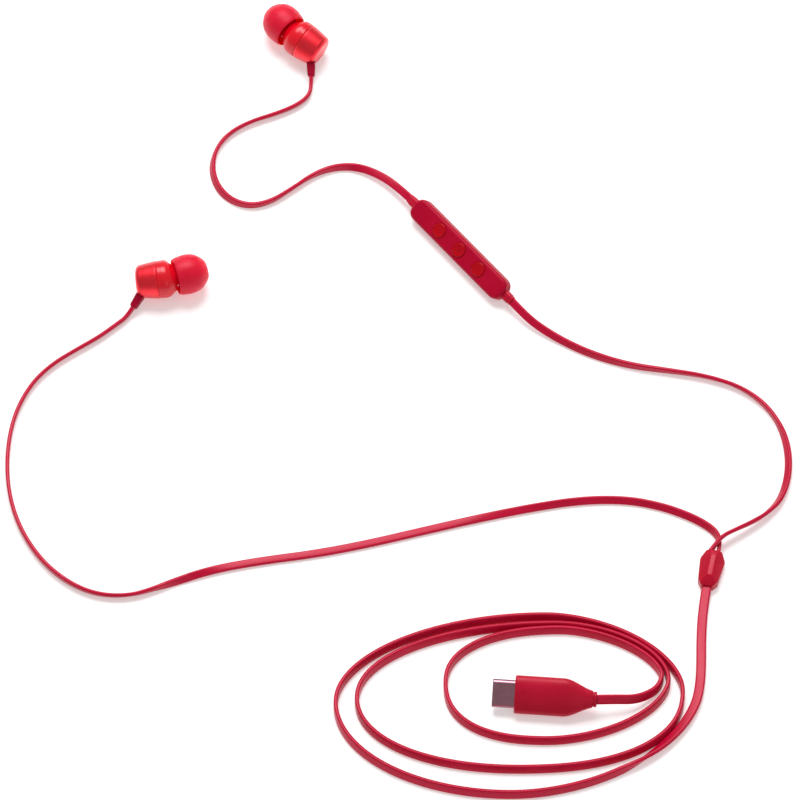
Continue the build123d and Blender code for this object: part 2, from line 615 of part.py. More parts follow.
def main():
    """Build every sub-part in its place and write the files."""
    ear_height = 0.0
    for side in SIDES:
        pieces, ear_height = build_earpiece(side)
        for name, shape in pieces.items():
            save(shape, f"{side}_{name}")
    remote, remote_height = build_remote()
    plug, plug_height = build_plug()
    split = Pos(*SPLIT_AT, 0) * Rot(0, 0, SPLIT_AZIMUTH) * y_split()
    print(f"heights: earpiece {ear_height:.3f}, remote {remote_height:.3f}, plug {plug_height:.3f}")
    cables = build_cables(ear_height, remote_height, plug_height)
    for name, shape in {**remote, **plug, "y_split": split, **cables}.items():
        save(shape, name)


main()
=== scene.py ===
"""Wired in-ear earphones laid out on a pale floor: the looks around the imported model.

Sizes are millimetres in each piece's own frame, and a Placement turns them into the row's metres.
The row's frame has +Z up and +Y away from the coiled lead, with its origin under the two earpieces.
"""
import logging
import math
from dataclasses import dataclass, field
from enum import Enum
from typing import Callable, Sequence

import bmesh
import bpy
import numpy as np
from mathutils import Matrix, Vector


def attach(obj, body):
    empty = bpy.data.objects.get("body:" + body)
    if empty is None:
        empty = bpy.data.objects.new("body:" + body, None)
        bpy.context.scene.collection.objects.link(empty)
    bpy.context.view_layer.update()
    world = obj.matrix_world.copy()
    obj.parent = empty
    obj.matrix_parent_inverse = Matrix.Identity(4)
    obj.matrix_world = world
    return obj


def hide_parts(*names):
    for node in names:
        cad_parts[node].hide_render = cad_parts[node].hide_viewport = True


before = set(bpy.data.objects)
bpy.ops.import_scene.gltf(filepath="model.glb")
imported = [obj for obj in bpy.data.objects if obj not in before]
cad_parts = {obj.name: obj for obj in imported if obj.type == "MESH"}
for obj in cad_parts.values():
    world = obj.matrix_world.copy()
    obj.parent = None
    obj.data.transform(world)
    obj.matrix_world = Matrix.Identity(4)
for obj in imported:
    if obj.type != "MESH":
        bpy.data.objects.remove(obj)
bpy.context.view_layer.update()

MM = 0.001
UP = Vector((0.0, 0.0, 1.0))
log = logging.getLogger("earphones")

Tree = bpy.types.NodeTree
Node = bpy.types.Node
Socket = bpy.types.NodeSocket
Thing = bpy.types.Object
Shape = bmesh.types.BMesh
Flat = tuple[float, float]
Spot = tuple[float, float, float]


class Side(Enum):
    """Which ear an earpiece is for; the value is the hand of its local y axis."""

    LEFT = 1
    RIGHT = -1

    @property
    def word(self) -> str:
        """Name of the side as the CAD nodes spell it."""
        return self.name.lower()


# ---------------------------------------------------------------- node trees
def linear(hex_colour: str) -> tuple[float, float, float, float]:
    """Turn an sRGB hex colour into linear red, green and blue, with an opacity of one.

    Args:
        hex_colour: Colour such as "#b41736".

    Returns:
        The four linear values.
    """
    parts = [int(hex_colour[i:i + 2], 16) / 255 for i in (1, 3, 5)]
    rgb = [c / 12.92 if c <= 0.04045 else ((c + 0.055) / 1.055) ** 2.4 for c in parts]
    return (*rgb, 1.0)


def add_node(tree: Tree, kind: str, settings: dict | None = None,
             inputs: dict | None = None) -> Node:
    """Add one node, set its properties, and fill or link its inputs.

    Args:
        tree: Tree that gets the node.
        kind: The node's type name.
        settings: Properties to set on the node.
        inputs: Values or output sockets by input name or number.

    Returns:
        The new node.
    """
    node = tree.nodes.new(kind)
    for name, value in (settings or {}).items():
        setattr(node, name, value)
    for name, value in (inputs or {}).items():
        if isinstance(value, Socket):
            tree.links.new(value, node.inputs[name])
        else:
            node.inputs[name].default_value = value
    return node


def colour_steps(node: Node, stops: Sequence[tuple[float, str]]) -> None:
    """Set the stops of a colour ramp from positions and hex colours."""
    ramp = node.color_ramp
    while len(ramp.elements) < len(stops):
        ramp.elements.new(0.5)
    for element, (place, colour) in zip(ramp.elements, stops):
        element.position = place
        element.color = linear(colour)


# ---------------------------------------------------------------- finishes
@dataclass(frozen=True)
class Finish:
    """A material's name, its shader constants, and the way its surface is drawn."""

    name: str
    colour: str
    roughness: float
    constants: dict = field(default_factory=dict)
    spread: float = 0.05

    def build(self) -> bpy.types.Material:
        """Make the material's node tree.

        Returns:
            The finished material.
        """
        material = bpy.data.materials.new(self.name)
        material.use_nodes = True
        tree = material.node_tree
        tree.nodes.clear()
        shader = add_node(tree, "ShaderNodeBsdfPrincipled",
                          inputs={"Base Color": linear(self.colour), "Roughness": self.roughness,
                                  **self.constants})
        add_node(tree, "ShaderNodeOutputMaterial", inputs={"Surface": shader.outputs["BSDF"]})
        self.dress(tree, shader)
        return material

    def dress(self, tree: Tree, shader: Node) -> None:
        """Link the patterns of this kind of surface to the shader."""
        raise NotImplementedError

    def vary_roughness(self, tree: Tree, shader: Node, pattern: Socket) -> None:
        """Let roughness follow a pattern, up and down by the finish's spread."""
        rough = add_node(tree, "ShaderNodeMapRange",
                         inputs={"Value": pattern, "From Min": 0.3, "From Max": 0.7,
                                 "To Min": self.roughness - self.spread,
                                 "To Max": self.roughness + self.spread})
        tree.links.new(rough.outputs["Result"], shader.inputs["Roughness"])

    def raise_surface(self, tree: Tree, shader: Node, pattern: Socket, depth_mm: float) -> None:
        """Raise the surface by a pattern, up to a depth."""
        bump = add_node(tree, "ShaderNodeBump",
                        inputs={"Strength": 1.0, "Distance": depth_mm * MM, "Height": pattern})
        tree.links.new(bump.outputs["Normal"], shader.inputs["Normal"])


@dataclass(frozen=True)
class PatchedFinish(Finish):
    """Surface with soft patches of colour and polish under a fine random grain."""

    deep: str = "#800018"
    pale: str = "#d02040"
    pale_from: float = 0.72
    patch_mm: float = 6.0
    grain_mm: float = 0.12
    grain_depth_mm: float = 0.004

    def dress(self, tree: Tree, shader: Node) -> None:
        """Draw the patches and the grain on Object coordinates."""
        where = add_node(tree, "ShaderNodeTexCoord").outputs["Object"]
        self.mottle(tree, shader, where)
        self.grain(tree, shader, where)

    def mottle(self, tree: Tree, shader: Node, where: Socket) -> None:
        """Vary colour and roughness in soft patches.

        Args:
            tree: The material's tree.
            shader: Its shader.
            where: Coordinates to read.
        """
        noise = add_node(tree, "ShaderNodeTexNoise",
                         inputs={"Vector": where, "Scale": 1 / (self.patch_mm * MM), "Detail": 3.0,
                                 "Roughness": 0.55})
        shades = [(0.3, self.deep), (0.5, self.colour), (self.pale_from, self.pale)]
        ramp = add_node(tree, "ShaderNodeValToRGB", inputs={"Fac": noise.outputs["Fac"]})
        colour_steps(ramp, shades)
        tree.links.new(ramp.outputs["Color"], shader.inputs["Base Color"])
        self.vary_roughness(tree, shader, noise.outputs["Fac"])

    def grain(self, tree: Tree, shader: Node, where: Socket) -> None:
        """Raise the grain."""
        noise = add_node(tree, "ShaderNodeTexNoise",
                         inputs={"Vector": where, "Scale": 1 / (self.grain_mm * MM), "Detail": 2.0})
        self.raise_surface(tree, shader, noise.outputs["Fac"], self.grain_depth_mm)


class MouldedFinish(PatchedFinish):
    """Moulded plastic or rubber, with the fine grain of the tool's surface."""


@dataclass(frozen=True)
class ExtrudedFinish(PatchedFinish):
    """Cable jacket drawn through a die: faint lines run along it, on its own UV map."""

    patch_mm: float = 3.0
    grain_mm: float = 0.22
    run_mm: float = 14.0
    spread: float = 0.06

    def dress(self, tree: Tree, shader: Node) -> None:
        """Draw long soft patches and die lines; u runs along the cable and v round it, both in metres."""
        along = add_node(tree, "ShaderNodeTexCoord").outputs["UV"]
        for draw, squeeze in ((self.mottle, 0.25), (self.grain, self.grain_mm / self.run_mm)):
            drawn_out = add_node(tree, "ShaderNodeMapping",
                                 inputs={"Vector": along, "Scale": (squeeze, 1.0, 1.0)})
            draw(tree, shader, drawn_out.outputs["Vector"])


@dataclass(frozen=True)
class TurnedFinish(Finish):
    """Metal turned on a lathe and then anodised or plated: fine rings round the piece's own axis."""

    ring_mm: float = 0.16
    ring_depth_mm: float = 0.0012

    def dress(self, tree: Tree, shader: Node) -> None:
        """Draw rings that follow the height stored on the piece, and a soft unevenness of the polish."""
        height = add_node(tree, "ShaderNodeAttribute", {"attribute_name": "along"}).outputs["Fac"]
        across = add_node(tree, "ShaderNodeCombineXYZ", inputs={"X": height})
        rings = add_node(tree, "ShaderNodeTexNoise",
                         inputs={"Vector": across.outputs["Vector"], "Scale": 1 / (self.ring_mm * MM),
                                 "Detail": 3.0, "Roughness": 0.7})
        self.raise_surface(tree, shader, rings.outputs["Fac"], self.ring_depth_mm)
        self.vary_roughness(tree, shader, rings.outputs["Fac"])


@dataclass(frozen=True)
class PlainMetalFinish(PatchedFinish):
    """Drawn, pressed or plated metal: a faint grain and slow changes of polish."""

    deep: str = "#8a8a8c"
    pale: str = "#d8d8da"
    pale_from: float = 0.7
    patch_mm: float = 1.8
    grain_mm: float = 0.2
    grain_depth_mm: float = 0.0008
    spread: float = 0.06


@dataclass(frozen=True)
class BoardFinish(Finish):
    """Circuit board: solder mask over a maze of copper tracks."""

    track: str = "#2f8a55"
    track_mm: float = 0.9
    track_depth_mm: float = 0.02

    def dress(self, tree: Tree, shader: Node) -> None:
        """Draw the tracks as the edges of square cells on Object coordinates."""
        where = add_node(tree, "ShaderNodeTexCoord").outputs["Object"]
        cells = add_node(tree, "ShaderNodeTexVoronoi", {"feature": "DISTANCE_TO_EDGE"},
                         {"Vector": where, "Scale": 1 / (self.track_mm * MM), "Randomness": 0.6})
        ramp = add_node(tree, "ShaderNodeValToRGB", inputs={"Fac": cells.outputs["Distance"]})
        colour_steps(ramp, [(0.05, self.track), (0.12, self.colour)])
        tree.links.new(ramp.outputs["Color"], shader.inputs["Base Color"])
        self.raise_surface(tree, shader, ramp.outputs["Color"], self.track_depth_mm)


# Rose-red tint that the dye under a plastic's skin gives to its reflections.
ROSE = linear("#ffa8b4")
METAL = {"Metallic": 1.0}


def dyed(specular: float, more: dict | None = None) -> dict:
    """Shader constants of a dyed plastic or rubber, whose reflections are rose red."""
    return {"Specular IOR Level": specular, "Specular Tint": ROSE, **(more or {})}


# Each finish is the real material and how its surface was made; the comment says what the eye gets.
FINISHES = {
    # Aluminium, turned, blasted and dyed red: metallic with broad pink-white highlights.
    "anodised": TurnedFinish("anodised aluminium", "#f0122a", 0.4,
                             {"Metallic": 0.8, "Specular IOR Level": 0.5, "Coat Weight": 0.6,
                              "Coat Roughness": 0.32}, ring_depth_mm=0.0006),
    # ABS with a satin red lacquer: a soft highlight under a thin clear coat.
    "lacquer": MouldedFinish("lacquered ABS", "#de0628", 0.34,
                             dyed(0.3, {"Coat Weight": 0.7, "Coat Roughness": 0.24, "Coat Tint": ROSE}),
                             deep="#d80425", pale="#e4082c", grain_depth_mm=0.0003, spread=0.02),
    # Silicone, moulded: matt, a little light passes through it, so shadows stay red.
    "silicone": MouldedFinish("moulded silicone", "#f01034", 0.43,
                              dyed(0.5, {"Subsurface Weight": 0.85, "Subsurface Radius": (1.0, 0.1, 0.13),
                                         "Subsurface Scale": 4.0 * MM}),
                              deep="#ea0d30", pale="#f6143a", grain_depth_mm=0.001),
    # Thermoplastic elastomer, extruded: satin with faint die lines.
    "jacket": ExtrudedFinish("extruded elastomer jacket", "#bc0432", 0.35, dyed(0.52),
                             deep="#b4032e", pale="#c40638"),
    # The same elastomer, moulded over the cable's ends: darker and duller than the cable.
    "overmould": MouldedFinish("moulded elastomer", "#9c0328", 0.42, dyed(0.2),
                               deep="#960226", pale="#a4052c"),
    # ABS with a fine spark-eroded satin: a soft even sheen.
    "case": MouldedFinish("satin ABS case", "#ae032a", 0.4, dyed(0.22), deep="#a90228", pale="#b3042d",
                          grain_mm=0.1, grain_depth_mm=0.002),
    # Button caps in a warmer, glossier red.
    "button": MouldedFinish("gloss button cap", "#b00112", 0.34, dyed(0.3), deep="#aa0110", pale="#b60214",
                            grain_depth_mm=0.0008),
    # The elastomer of the Y-split, moulded in a polished tool, so its facets catch the light.
    "split": MouldedFinish("polished elastomer", "#b80528", 0.34, dyed(0.5), deep="#b00425", pale="#c0072d",
                           grain_mm=0.3, grain_depth_mm=0.012),
    # The plug's and the sleeves' elastomer: brighter and smoother than the strain reliefs'.
    "plug": MouldedFinish("moulded plug elastomer", "#ba062c", 0.42, dyed(0.5),
                          deep="#b40529", pale="#c00830", grain_depth_mm=0.002),
    # Fine gauze that shows in the pin-hole vent; its pale near-white colour is a painted highlight, the glint
    # of the vent's edge.
    "vent": PlainMetalFinish("vent gauze", "#f0e6e6", 0.45, {"Metallic": 0.6}, deep="#d8cccc", pale="#ffffff",
                             grain_mm=0.04, grain_depth_mm=0.004),
    # Stainless wire cloth: clean grey glints.
    "wire": PlainMetalFinish("stainless wire", "#a9a9ad", 0.3, METAL),
    # Steel, nickel plated: metallic with clear reflections; its warm mauve grey is a painted reflection of
    # the red cable.
    "nickel": PlainMetalFinish("nickel plated steel", "#a87884", 0.3, METAL, deep="#a37480", pale="#ae7e8a",
                               grain_depth_mm=0.0001, spread=0.02),
    # Pressed steel sheet: a dull even grey.
    "pressed_steel": PlainMetalFinish("pressed steel", "#98989a", 0.38, METAL),
    # Sintered magnet, nickel plated: bright grey.
    "magnet": PlainMetalFinish("nickel plated magnet", "#b4b4b8", 0.22, METAL),
    # Enamelled copper wire: glossy brown-orange.
    "copper": PlainMetalFinish("enamelled copper", "#b8632f", 0.3, METAL, deep="#a5552a", pale="#c9743c"),
    # Gold flash on the plug's contacts: bright yellow metal.
    "gold": PlainMetalFinish("gold plated contact", "#d9b04a", 0.25, METAL, deep="#c99f3c", pale="#e6c05e"),
    # Polyester film over the driver: smooth amber.
    "film": MouldedFinish("polyester film", "#c9b27a", 0.2, {"Specular IOR Level": 0.6},
                          deep="#bfa76e", pale="#d4be88", grain_depth_mm=0.0005),
    # Black glass-filled plastic, moulded: matt, almost no highlight.
    "insert": MouldedFinish("black moulded insert", "#161617", 0.45, deep="#121213", pale="#1d1d1f"),
    # Green solder mask, slightly raised where the tracks run.
    "board": BoardFinish("solder mask", "#14502c", 0.35, {"Specular IOR Level": 0.5}),
}
MATERIALS: dict[str, bpy.types.Material] = {}


def material(key: str) -> bpy.types.Material:
    """Material of a finish, made the first time that it is asked for."""
    if key not in MATERIALS:
        MATERIALS[key] = FINISHES[key].build()
    return MATERIALS[key]


# ---------------------------------------------------------------- places
@dataclass(frozen=True)
class Placement:
    """Local frame of a piece in millimetres, and its place in the row's frame."""

    origin: Vector
    x_axis: Vector
    z_axis: Vector
    hand: int = 1

    @property
    def matrix(self) -> Matrix:
        """Matrix from local millimetres to the row's metres; a hand of -1 mirrors local y."""
        z = self.z_axis.normalized()
        x = (self.x_axis - z * self.x_axis.dot(z)).normalized()
        y = z.cross(x) * self.hand
        turn = Matrix((x, y, z)).transposed().to_4x4()
        return Matrix.Translation(self.origin * MM) @ turn @ Matrix.Scale(MM, 4)

    def moved(self, offset: Vector, x_axis: Vector | None = None,
              z_axis: Vector | None = None) -> "Placement":
        """Frame inside this one: an offset and axes given in this frame's own directions.

        Args:
            offset: Local place of the new origin.
            x_axis: Local direction of the new x axis; by default unchanged.
            z_axis: Local direction of the new z axis; by default unchanged.

        Returns:
            The new placement.
        """
        turn = self.matrix.to_3x3()
        point = (self.matrix @ offset) / MM
        new_x = turn @ (x_axis or Vector((1, 0, 0)))
        new_z = turn @ (z_axis or Vector((0, 0, 1)))
        return Placement(point, new_x / MM, new_z / MM, self.hand)


def surface_place(x: float, y: float, height: float, azimuth: float, roll: float = 0.0) -> Placement:
    """Placement with a level x axis at an azimuth, rolled about that axis; angles in degrees."""
    turn = Matrix.Rotation(math.radians(azimuth), 3, "Z") @ Matrix.Rotation(math.radians(roll), 3, "X")
    return Placement(Vector((x, y, height)), turn @ Vector((1, 0, 0)), turn @ Vector((0, 0, 1)))


# ---------------------------------------------------------------- mesh making
def through(points: Sequence[Flat], steps: int = 8) -> list[Flat]:
    """Smooth curve through the points of an outline.

    Args:
        points: Points as (radius, along).
        steps: Points made for each span.

    Returns:
        Points of a Catmull-Rom curve, the first and last included.
    """
    rows = [Vector(p) for p in points]
    ends = [rows[0] * 2 - rows[1]] + rows + [rows[-1] * 2 - rows[-2]]
    curve = []
    for a, b, c, d in zip(ends, ends[1:], ends[2:], ends[3:]):
        for step in range(steps):
            t = step / steps
            curve.append(0.5 * (2 * b + (c - a) * t + (2 * a - 5 * b + 4 * c - d) * t ** 2
                                + (3 * b - a - 3 * c + d) * t ** 3))
    curve.append(rows[-1])
    return [(p.x, p.y) for p in curve]


def arc(centre: Flat, radius: float, start: float, end: float,
        steps: int = 8) -> list[Flat]:
    """Arc of an outline, from one angle to another in degrees; 0 points outwards and 90 along."""
    angles = [math.radians(start + (end - start) * step / steps) for step in range(steps + 1)]
    return [(centre[0] + radius * math.cos(a), centre[1] + radius * math.sin(a)) for a in angles]


def add_object(name: str, data: bpy.types.ID) -> Thing:
    """Make an object from its data and link it to the scene."""
    thing = bpy.data.objects.new(name, data)
    bpy.context.scene.collection.objects.link(thing)
    return thing


def finish_object(name: str, mesh: bpy.types.Mesh, finish: str, smooth_below: float) -> Thing:
    """Link a mesh as an object at the origin, with its material and soft shading up to an angle.

    Args:
        name: Name of the piece.
        mesh: Mesh in the row's metres.
        finish: Key of its finish.
        smooth_below: Edges that turn more than this many degrees stay sharp.

    Returns:
        The new object.
    """
    mesh.materials.clear()
    mesh.materials.append(material(finish))
    thing = add_object(name, mesh)
    soften(thing, smooth_below)
    return thing


def placed_mesh(name: str, shape: Shape, place: Placement) -> bpy.types.Mesh:
    """Write a local shape as a mesh in the row's metres, with its faces pointing outwards."""
    bmesh.ops.transform(shape, matrix=place.matrix, verts=shape.verts)
    bmesh.ops.recalc_face_normals(shape, faces=shape.faces)
    mesh = bpy.data.meshes.new(name)
    shape.to_mesh(mesh)
    shape.free()
    return mesh


def lathe(outline: Sequence[Flat], segments: int = 96,
          spine: Callable[[float], tuple[Vector, Vector]] | None = None) -> Shape:
    """Turn an outline about a straight or bent axis.

    Args:
        outline: Points as (radius, along), closed if the last meets the first.
        segments: Points round each ring.
        spine: Gives the centre and direction of the axis at a distance along it.

    Returns:
        The shape, with the distance along stored on each point as "along".
    """
    shape = bmesh.new()
    along_layer = shape.verts.layers.float.new("along")
    rings = []
    for radius, along in outline:
        centre, direction = spine(along) if spine else (Vector((0, 0, along)), UP)
        side = Vector((1, 0, 0)) - direction * direction.x
        side.normalize()
        other = direction.cross(side)
        count = 1 if radius < 1e-6 else segments
        ring = []
        for step in range(count):
            angle = 2 * math.pi * step / segments
            point = centre + (side * math.cos(angle) + other * math.sin(angle)) * radius
            vert = shape.verts.new(point)
            vert[along_layer] = along * MM
            ring.append(vert)
        rings.append(ring)
    for low, high in zip(rings, rings[1:]):
        join_rings(shape, low, high)
    bmesh.ops.remove_doubles(shape, verts=shape.verts, dist=1e-5)
    return shape


def join_rings(shape: Shape, low: list, high: list) -> None:
    """Fill the band between two closed rings of points; either may be a single point."""
    count = max(len(low), len(high))
    for step in range(count):
        after = (step + 1) % count
        corners = []
        for ring, turns in ((low, (step, after)), (high, (after, step))):
            for turn in turns:
                vert = ring[turn % len(ring)]
                if vert not in corners:
                    corners.append(vert)
        if len(corners) > 2:
            shape.faces.new(corners)


def loft(rings: Sequence[Sequence[Vector]], capped: bool = True) -> Shape:
    """Skin over closed rings with the same number of points, with flat ends if asked."""
    shape = bmesh.new()
    rows = [[shape.verts.new(point) for point in ring] for ring in rings]
    for low, high in zip(rows, rows[1:]):
        join_rings(shape, low, high)
    if capped:
        shape.faces.new(rows[0])
        shape.faces.new(list(reversed(rows[-1])))
    return shape


def rounded_rectangle(width: float, height: float, radius: float, steps: int = 8) -> list[Flat]:
    """Points of a rectangle with round corners, anticlockwise from its right side."""
    radius = min(radius, width / 2 - 1e-3, height / 2 - 1e-3)
    points = []
    for quarter, (sx, sy) in enumerate(((1, 1), (-1, 1), (-1, -1), (1, -1))):
        centre = (sx * (width / 2 - radius), sy * (height / 2 - radius))
        points += arc(centre, radius, 90 * quarter, 90 * quarter + 90, steps)
    return points


def cut(target: Thing, cutters: Sequence[Thing]) -> None:
    """Cut other solids out of a piece, keep the result as its mesh, and delete the cutters."""
    for cutter in cutters:
        change = target.modifiers.new("cut", "BOOLEAN")
        change.operation = "DIFFERENCE"
        change.solver = "EXACT"
        change.object = cutter
    apply_modifiers(target)
    for cutter in cutters:
        bpy.data.objects.remove(cutter)


def apply_modifiers(target: Thing) -> None:
    """Replace a piece's mesh by what its modifiers make of it."""
    graph = bpy.context.evaluated_depsgraph_get()
    result = bpy.data.meshes.new_from_object(target.evaluated_get(graph))
    target.modifiers.clear()
    target.data = result


def cutter_from(shape: Shape, place: Placement) -> Thing:
    """Solid that is only used to cut another."""
    return add_object("cutter", placed_mesh("cutter", shape, place))


def soften(thing: Thing, smooth_below: float) -> None:
    """Shade a piece softly, but keep the edges that turn more than an angle in degrees sharp."""
    shape = bmesh.new()
    shape.from_mesh(thing.data)
    for face in shape.faces:
        face.smooth = True
    for edge in shape.edges:
        edge.smooth = len(edge.link_faces) == 2 and edge.calc_face_angle(0.0) < math.radians(smooth_below)
    shape.to_mesh(thing.data)
    shape.free()


def settle(thing: Thing, body: str, slot: str, nodes: Sequence[str] = ()) -> Thing:
    """Let a piece ride on its body and stand for its CAD nodes.

    Args:
        thing: The finished piece.
        body: CAD body that it rides on.
        slot: Material slot of the record; not used.
        nodes: CAD nodes that it replaces.

    Returns:
        The same piece.
    """
    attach(thing, body)
    if nodes:
        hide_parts(*nodes)
    log.info("%s: %d faces, on %s", thing.name, len(thing.data.polygons), body)
    return thing


@dataclass(frozen=True)
class Look:
    """Finish of a piece, its slot in the record, and the turn in degrees above which an edge stays sharp."""

    finish: str
    slot: str
    sharp_above: float = 40.0


def make_piece(name: str, shape: Shape, place: Placement, look: Look, nodes: Sequence[str] = (),
               body: str = "root", cutters: Sequence[Thing] = ()) -> Thing:
    """Make one rigid piece from its local shape, cut it, and settle it.

    Args:
        name: Name of the piece.
        shape: Its shape in local millimetres.
        place: Its frame.
        look: How it is finished and shaded.
        nodes: CAD nodes that it replaces.
        body: CAD body that it rides on.
        cutters: Solids to take away from it.

    Returns:
        The piece.
    """
    thing = finish_object(name, placed_mesh(name, shape, place), look.finish, look.sharp_above)
    if cutters:
        cut(thing, cutters)
        soften(thing, look.sharp_above)
    return settle(thing, body, look.slot, nodes)


# ---------------------------------------------------------------- geometry nodes
class RepeatTree:
    """Geometry Nodes tree that repeats a shape, made in code with named inputs."""

    def __init__(self, name: str, numbers: dict[str, float], finish: str) -> None:
        """Start the tree.

        Args:
            name: Name of the tree.
            numbers: Named inputs and their values, in metres or counts.
            finish: Key of the finish that the result gets.
        """
        self.numbers = numbers
        self.finish = finish
        self.tree = bpy.data.node_groups.new(name, "GeometryNodeTree")
        sockets = self.tree.interface
        sockets.new_socket("Geometry", in_out="OUTPUT", socket_type="NodeSocketGeometry")
        for key, value in numbers.items():
            kind = "NodeSocketInt" if isinstance(value, int) else "NodeSocketFloat"
            sockets.new_socket(key, in_out="INPUT", socket_type=kind)
        self.source = self.tree.nodes.new("NodeGroupInput")

    def given(self, key: str) -> Socket:
        """Socket of a named input."""
        return self.source.outputs[key]

    def node(self, kind: str, settings: dict | None = None, inputs: dict | None = None) -> Node:
        """Add a node to the tree."""
        return add_node(self.tree, kind, settings, inputs)

    def sum_of(self, operation: str, first, second) -> Socket:
        """Result of a Math node on two values or sockets."""
        return self.node("ShaderNodeMath", {"operation": operation}, {0: first, 1: second}).outputs[0]

    def bake(self, name: str, last: Socket, place: Placement) -> Thing:
        """Realize the instances, run the tree once, and keep the result as a plain mesh.

        Args:
            name: Name of the piece.
            last: Geometry to put out.
            place: Frame that turns local metres into the row's metres.

        Returns:
            The piece, without its modifier.
        """
        real = self.node("GeometryNodeRealizeInstances", inputs={"Geometry": last})
        dressed = self.node("GeometryNodeSetMaterial",
                            inputs={"Geometry": real.outputs["Geometry"], "Material": material(self.finish)})
        out = self.tree.nodes.new("NodeGroupOutput")
        self.tree.links.new(dressed.outputs["Geometry"], out.inputs["Geometry"])
        carrier = add_object(name, bpy.data.meshes.new(name))
        change = carrier.modifiers.new("repeat", "NODES")
        change.node_group = self.tree
        for item in self.tree.interface.items_tree:
            if item.item_type == "SOCKET" and item.in_out == "INPUT":
                change[item.identifier] = self.numbers[item.name]
        carrier.update_tag()
        bpy.context.view_layer.update()
        apply_modifiers(carrier)
        carrier.data.transform(place.matrix @ Matrix.Scale(1 / MM, 4))
        if place.hand < 0:
            carrier.data.flip_normals()
        for face in carrier.data.polygons:
            face.use_smooth = True
        return carrier


# ---------------------------------------------------------------- cable
@dataclass(frozen=True)
class RibbonSize:
    """Cross-section of the flat cable in millimetres."""

    width: float
    thickness: float
    corner: float
    crown: float = 0.05

    def outline(self) -> list[Flat]:
        """Points of the cross-section as (across its width, across its thickness)."""
        points = rounded_rectangle(self.width, self.thickness, self.corner, 5)
        dense = []
        for (ax, ay), (bx, by) in zip(points, points[1:] + points[:1]):
            count = max(1, round(math.hypot(bx - ax, by - ay) / 0.3))
            for step in range(count):
                x = ax + (bx - ax) * step / count
                y = ay + (by - ay) * step / count
                bulge = self.crown * (1 - (2 * x / self.width) ** 2)
                dense.append((x, y + math.copysign(bulge, y)))
        return dense


@dataclass(frozen=True)
class Lean:
    """How the flat cable stands at a share of its length: the way that its upper edge leans.

    (0, 0) stands on edge. The two numbers are how far the upper edge leans to +X and +Y for each unit of
    height, so (0, 1) is 45 degrees away from the front.
    """

    share: float
    x: float
    y: float


@dataclass
class Cable:
    """One length of flat cable that follows its route's spline."""

    name: str
    size: RibbonSize
    route: Sequence[Spot]
    leans: Sequence[Lean]
    nodes: Sequence[str]
    length: float
    far_end: str
    lay: str = "loose"
    fineness: int = 8
    carries: Sequence[str] = ()

    def spline_points(self) -> list[Vector]:
        """Points read from the NURBS spline whose control points are the route's, in metres."""
        curve = bpy.data.curves.new(self.name + "_line", "CURVE")
        curve.dimensions = "3D"
        spline = curve.splines.new("NURBS")
        spline.points.add(len(self.route) - 1)
        for point, place in zip(spline.points, self.route):
            point.co = (place[0] * MM, place[1] * MM, place[2] * MM, 1.0)
        spline.order_u = 3
        spline.use_endpoint_u = True
        spline.resolution_u = self.fineness
        holder = add_object(self.name + "_line", curve)
        line = bpy.data.meshes.new_from_object(holder)
        points = [vert.co.copy() for vert in line.vertices]
        bpy.data.objects.remove(holder)
        bpy.data.meshes.remove(line)
        return points

    def edge_direction(self, share: float, tangent: Vector) -> Vector:
        """Direction of the ribbon's width at a share of its length.

        Args:
            share: Share of the length, from 0 to 1.
            tangent: Unit direction of the cable there.

        Returns:
            Unit direction across the ribbon, towards its upper edge.
        """
        places = [lean.share for lean in self.leans]
        hint = Vector((float(np.interp(share, places, [lean.x for lean in self.leans])),
                       float(np.interp(share, places, [lean.y for lean in self.leans])), 1.0))
        return (hint - tangent * hint.dot(tangent)).normalized()

    def build(self) -> Thing:
        points = self.spline_points()
        outline = self.size.outline()
        run = [0.0]
        for before, after in zip(points, points[1:]):
            run.append(run[-1] + (after - before).length)
        around = [0.0]
        for (ax, ay), (bx, by) in zip(outline, outline[1:] + outline[:1]):
            around.append(around[-1] + math.hypot(bx - ax, by - ay) * MM)
        shape = bmesh.new()
        rings = []
        for index, centre in enumerate(points):
            tangent = (points[min(index + 1, len(points) - 1)] - points[max(index - 1, 0)]).normalized()
            across = self.edge_direction(run[index] / run[-1], tangent)
            thick = tangent.cross(across)
            rings.append([shape.verts.new(centre + (across * x + thick * y) * MM) for x, y in outline])
        uv_layer = shape.loops.layers.uv.new("UVMap")
        count = len(outline)
        for index, (low, high) in enumerate(zip(rings, rings[1:])):
            for step in range(count):
                after = (step + 1) % count
                face = shape.faces.new((low[step], low[after], high[after], high[step]))
                corners = ((index, step), (index, step + 1), (index + 1, step + 1), (index + 1, step))
                for loop, (at, way) in zip(face.loops, corners):
                    loop[uv_layer].uv = (run[at], around[way])
        shape.faces.new(rings[0])
        shape.faces.new(list(reversed(rings[-1])))
        bmesh.ops.recalc_face_normals(shape, faces=shape.faces)
        mesh = bpy.data.meshes.new(self.name)
        shape.to_mesh(mesh)
        shape.free()
        thing = finish_object(self.name, mesh, "jacket", 50.0)
        settle(thing, "root", "cable_jacket", self.nodes)
        riders = [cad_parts.get(name) or bpy.data.objects[name] for name in self.carries]
        tuple(points[0])
        [tuple(p) for p in points]
        log.info("%s: %.1f mm long", self.name, run[-1] / MM)
        return thing


@dataclass(frozen=True)
class CoilSwing:
    """One extreme of the loose coil, and how square the quarter turn is that leads to it."""

    x: float
    y: float
    fullness: float = 2.0


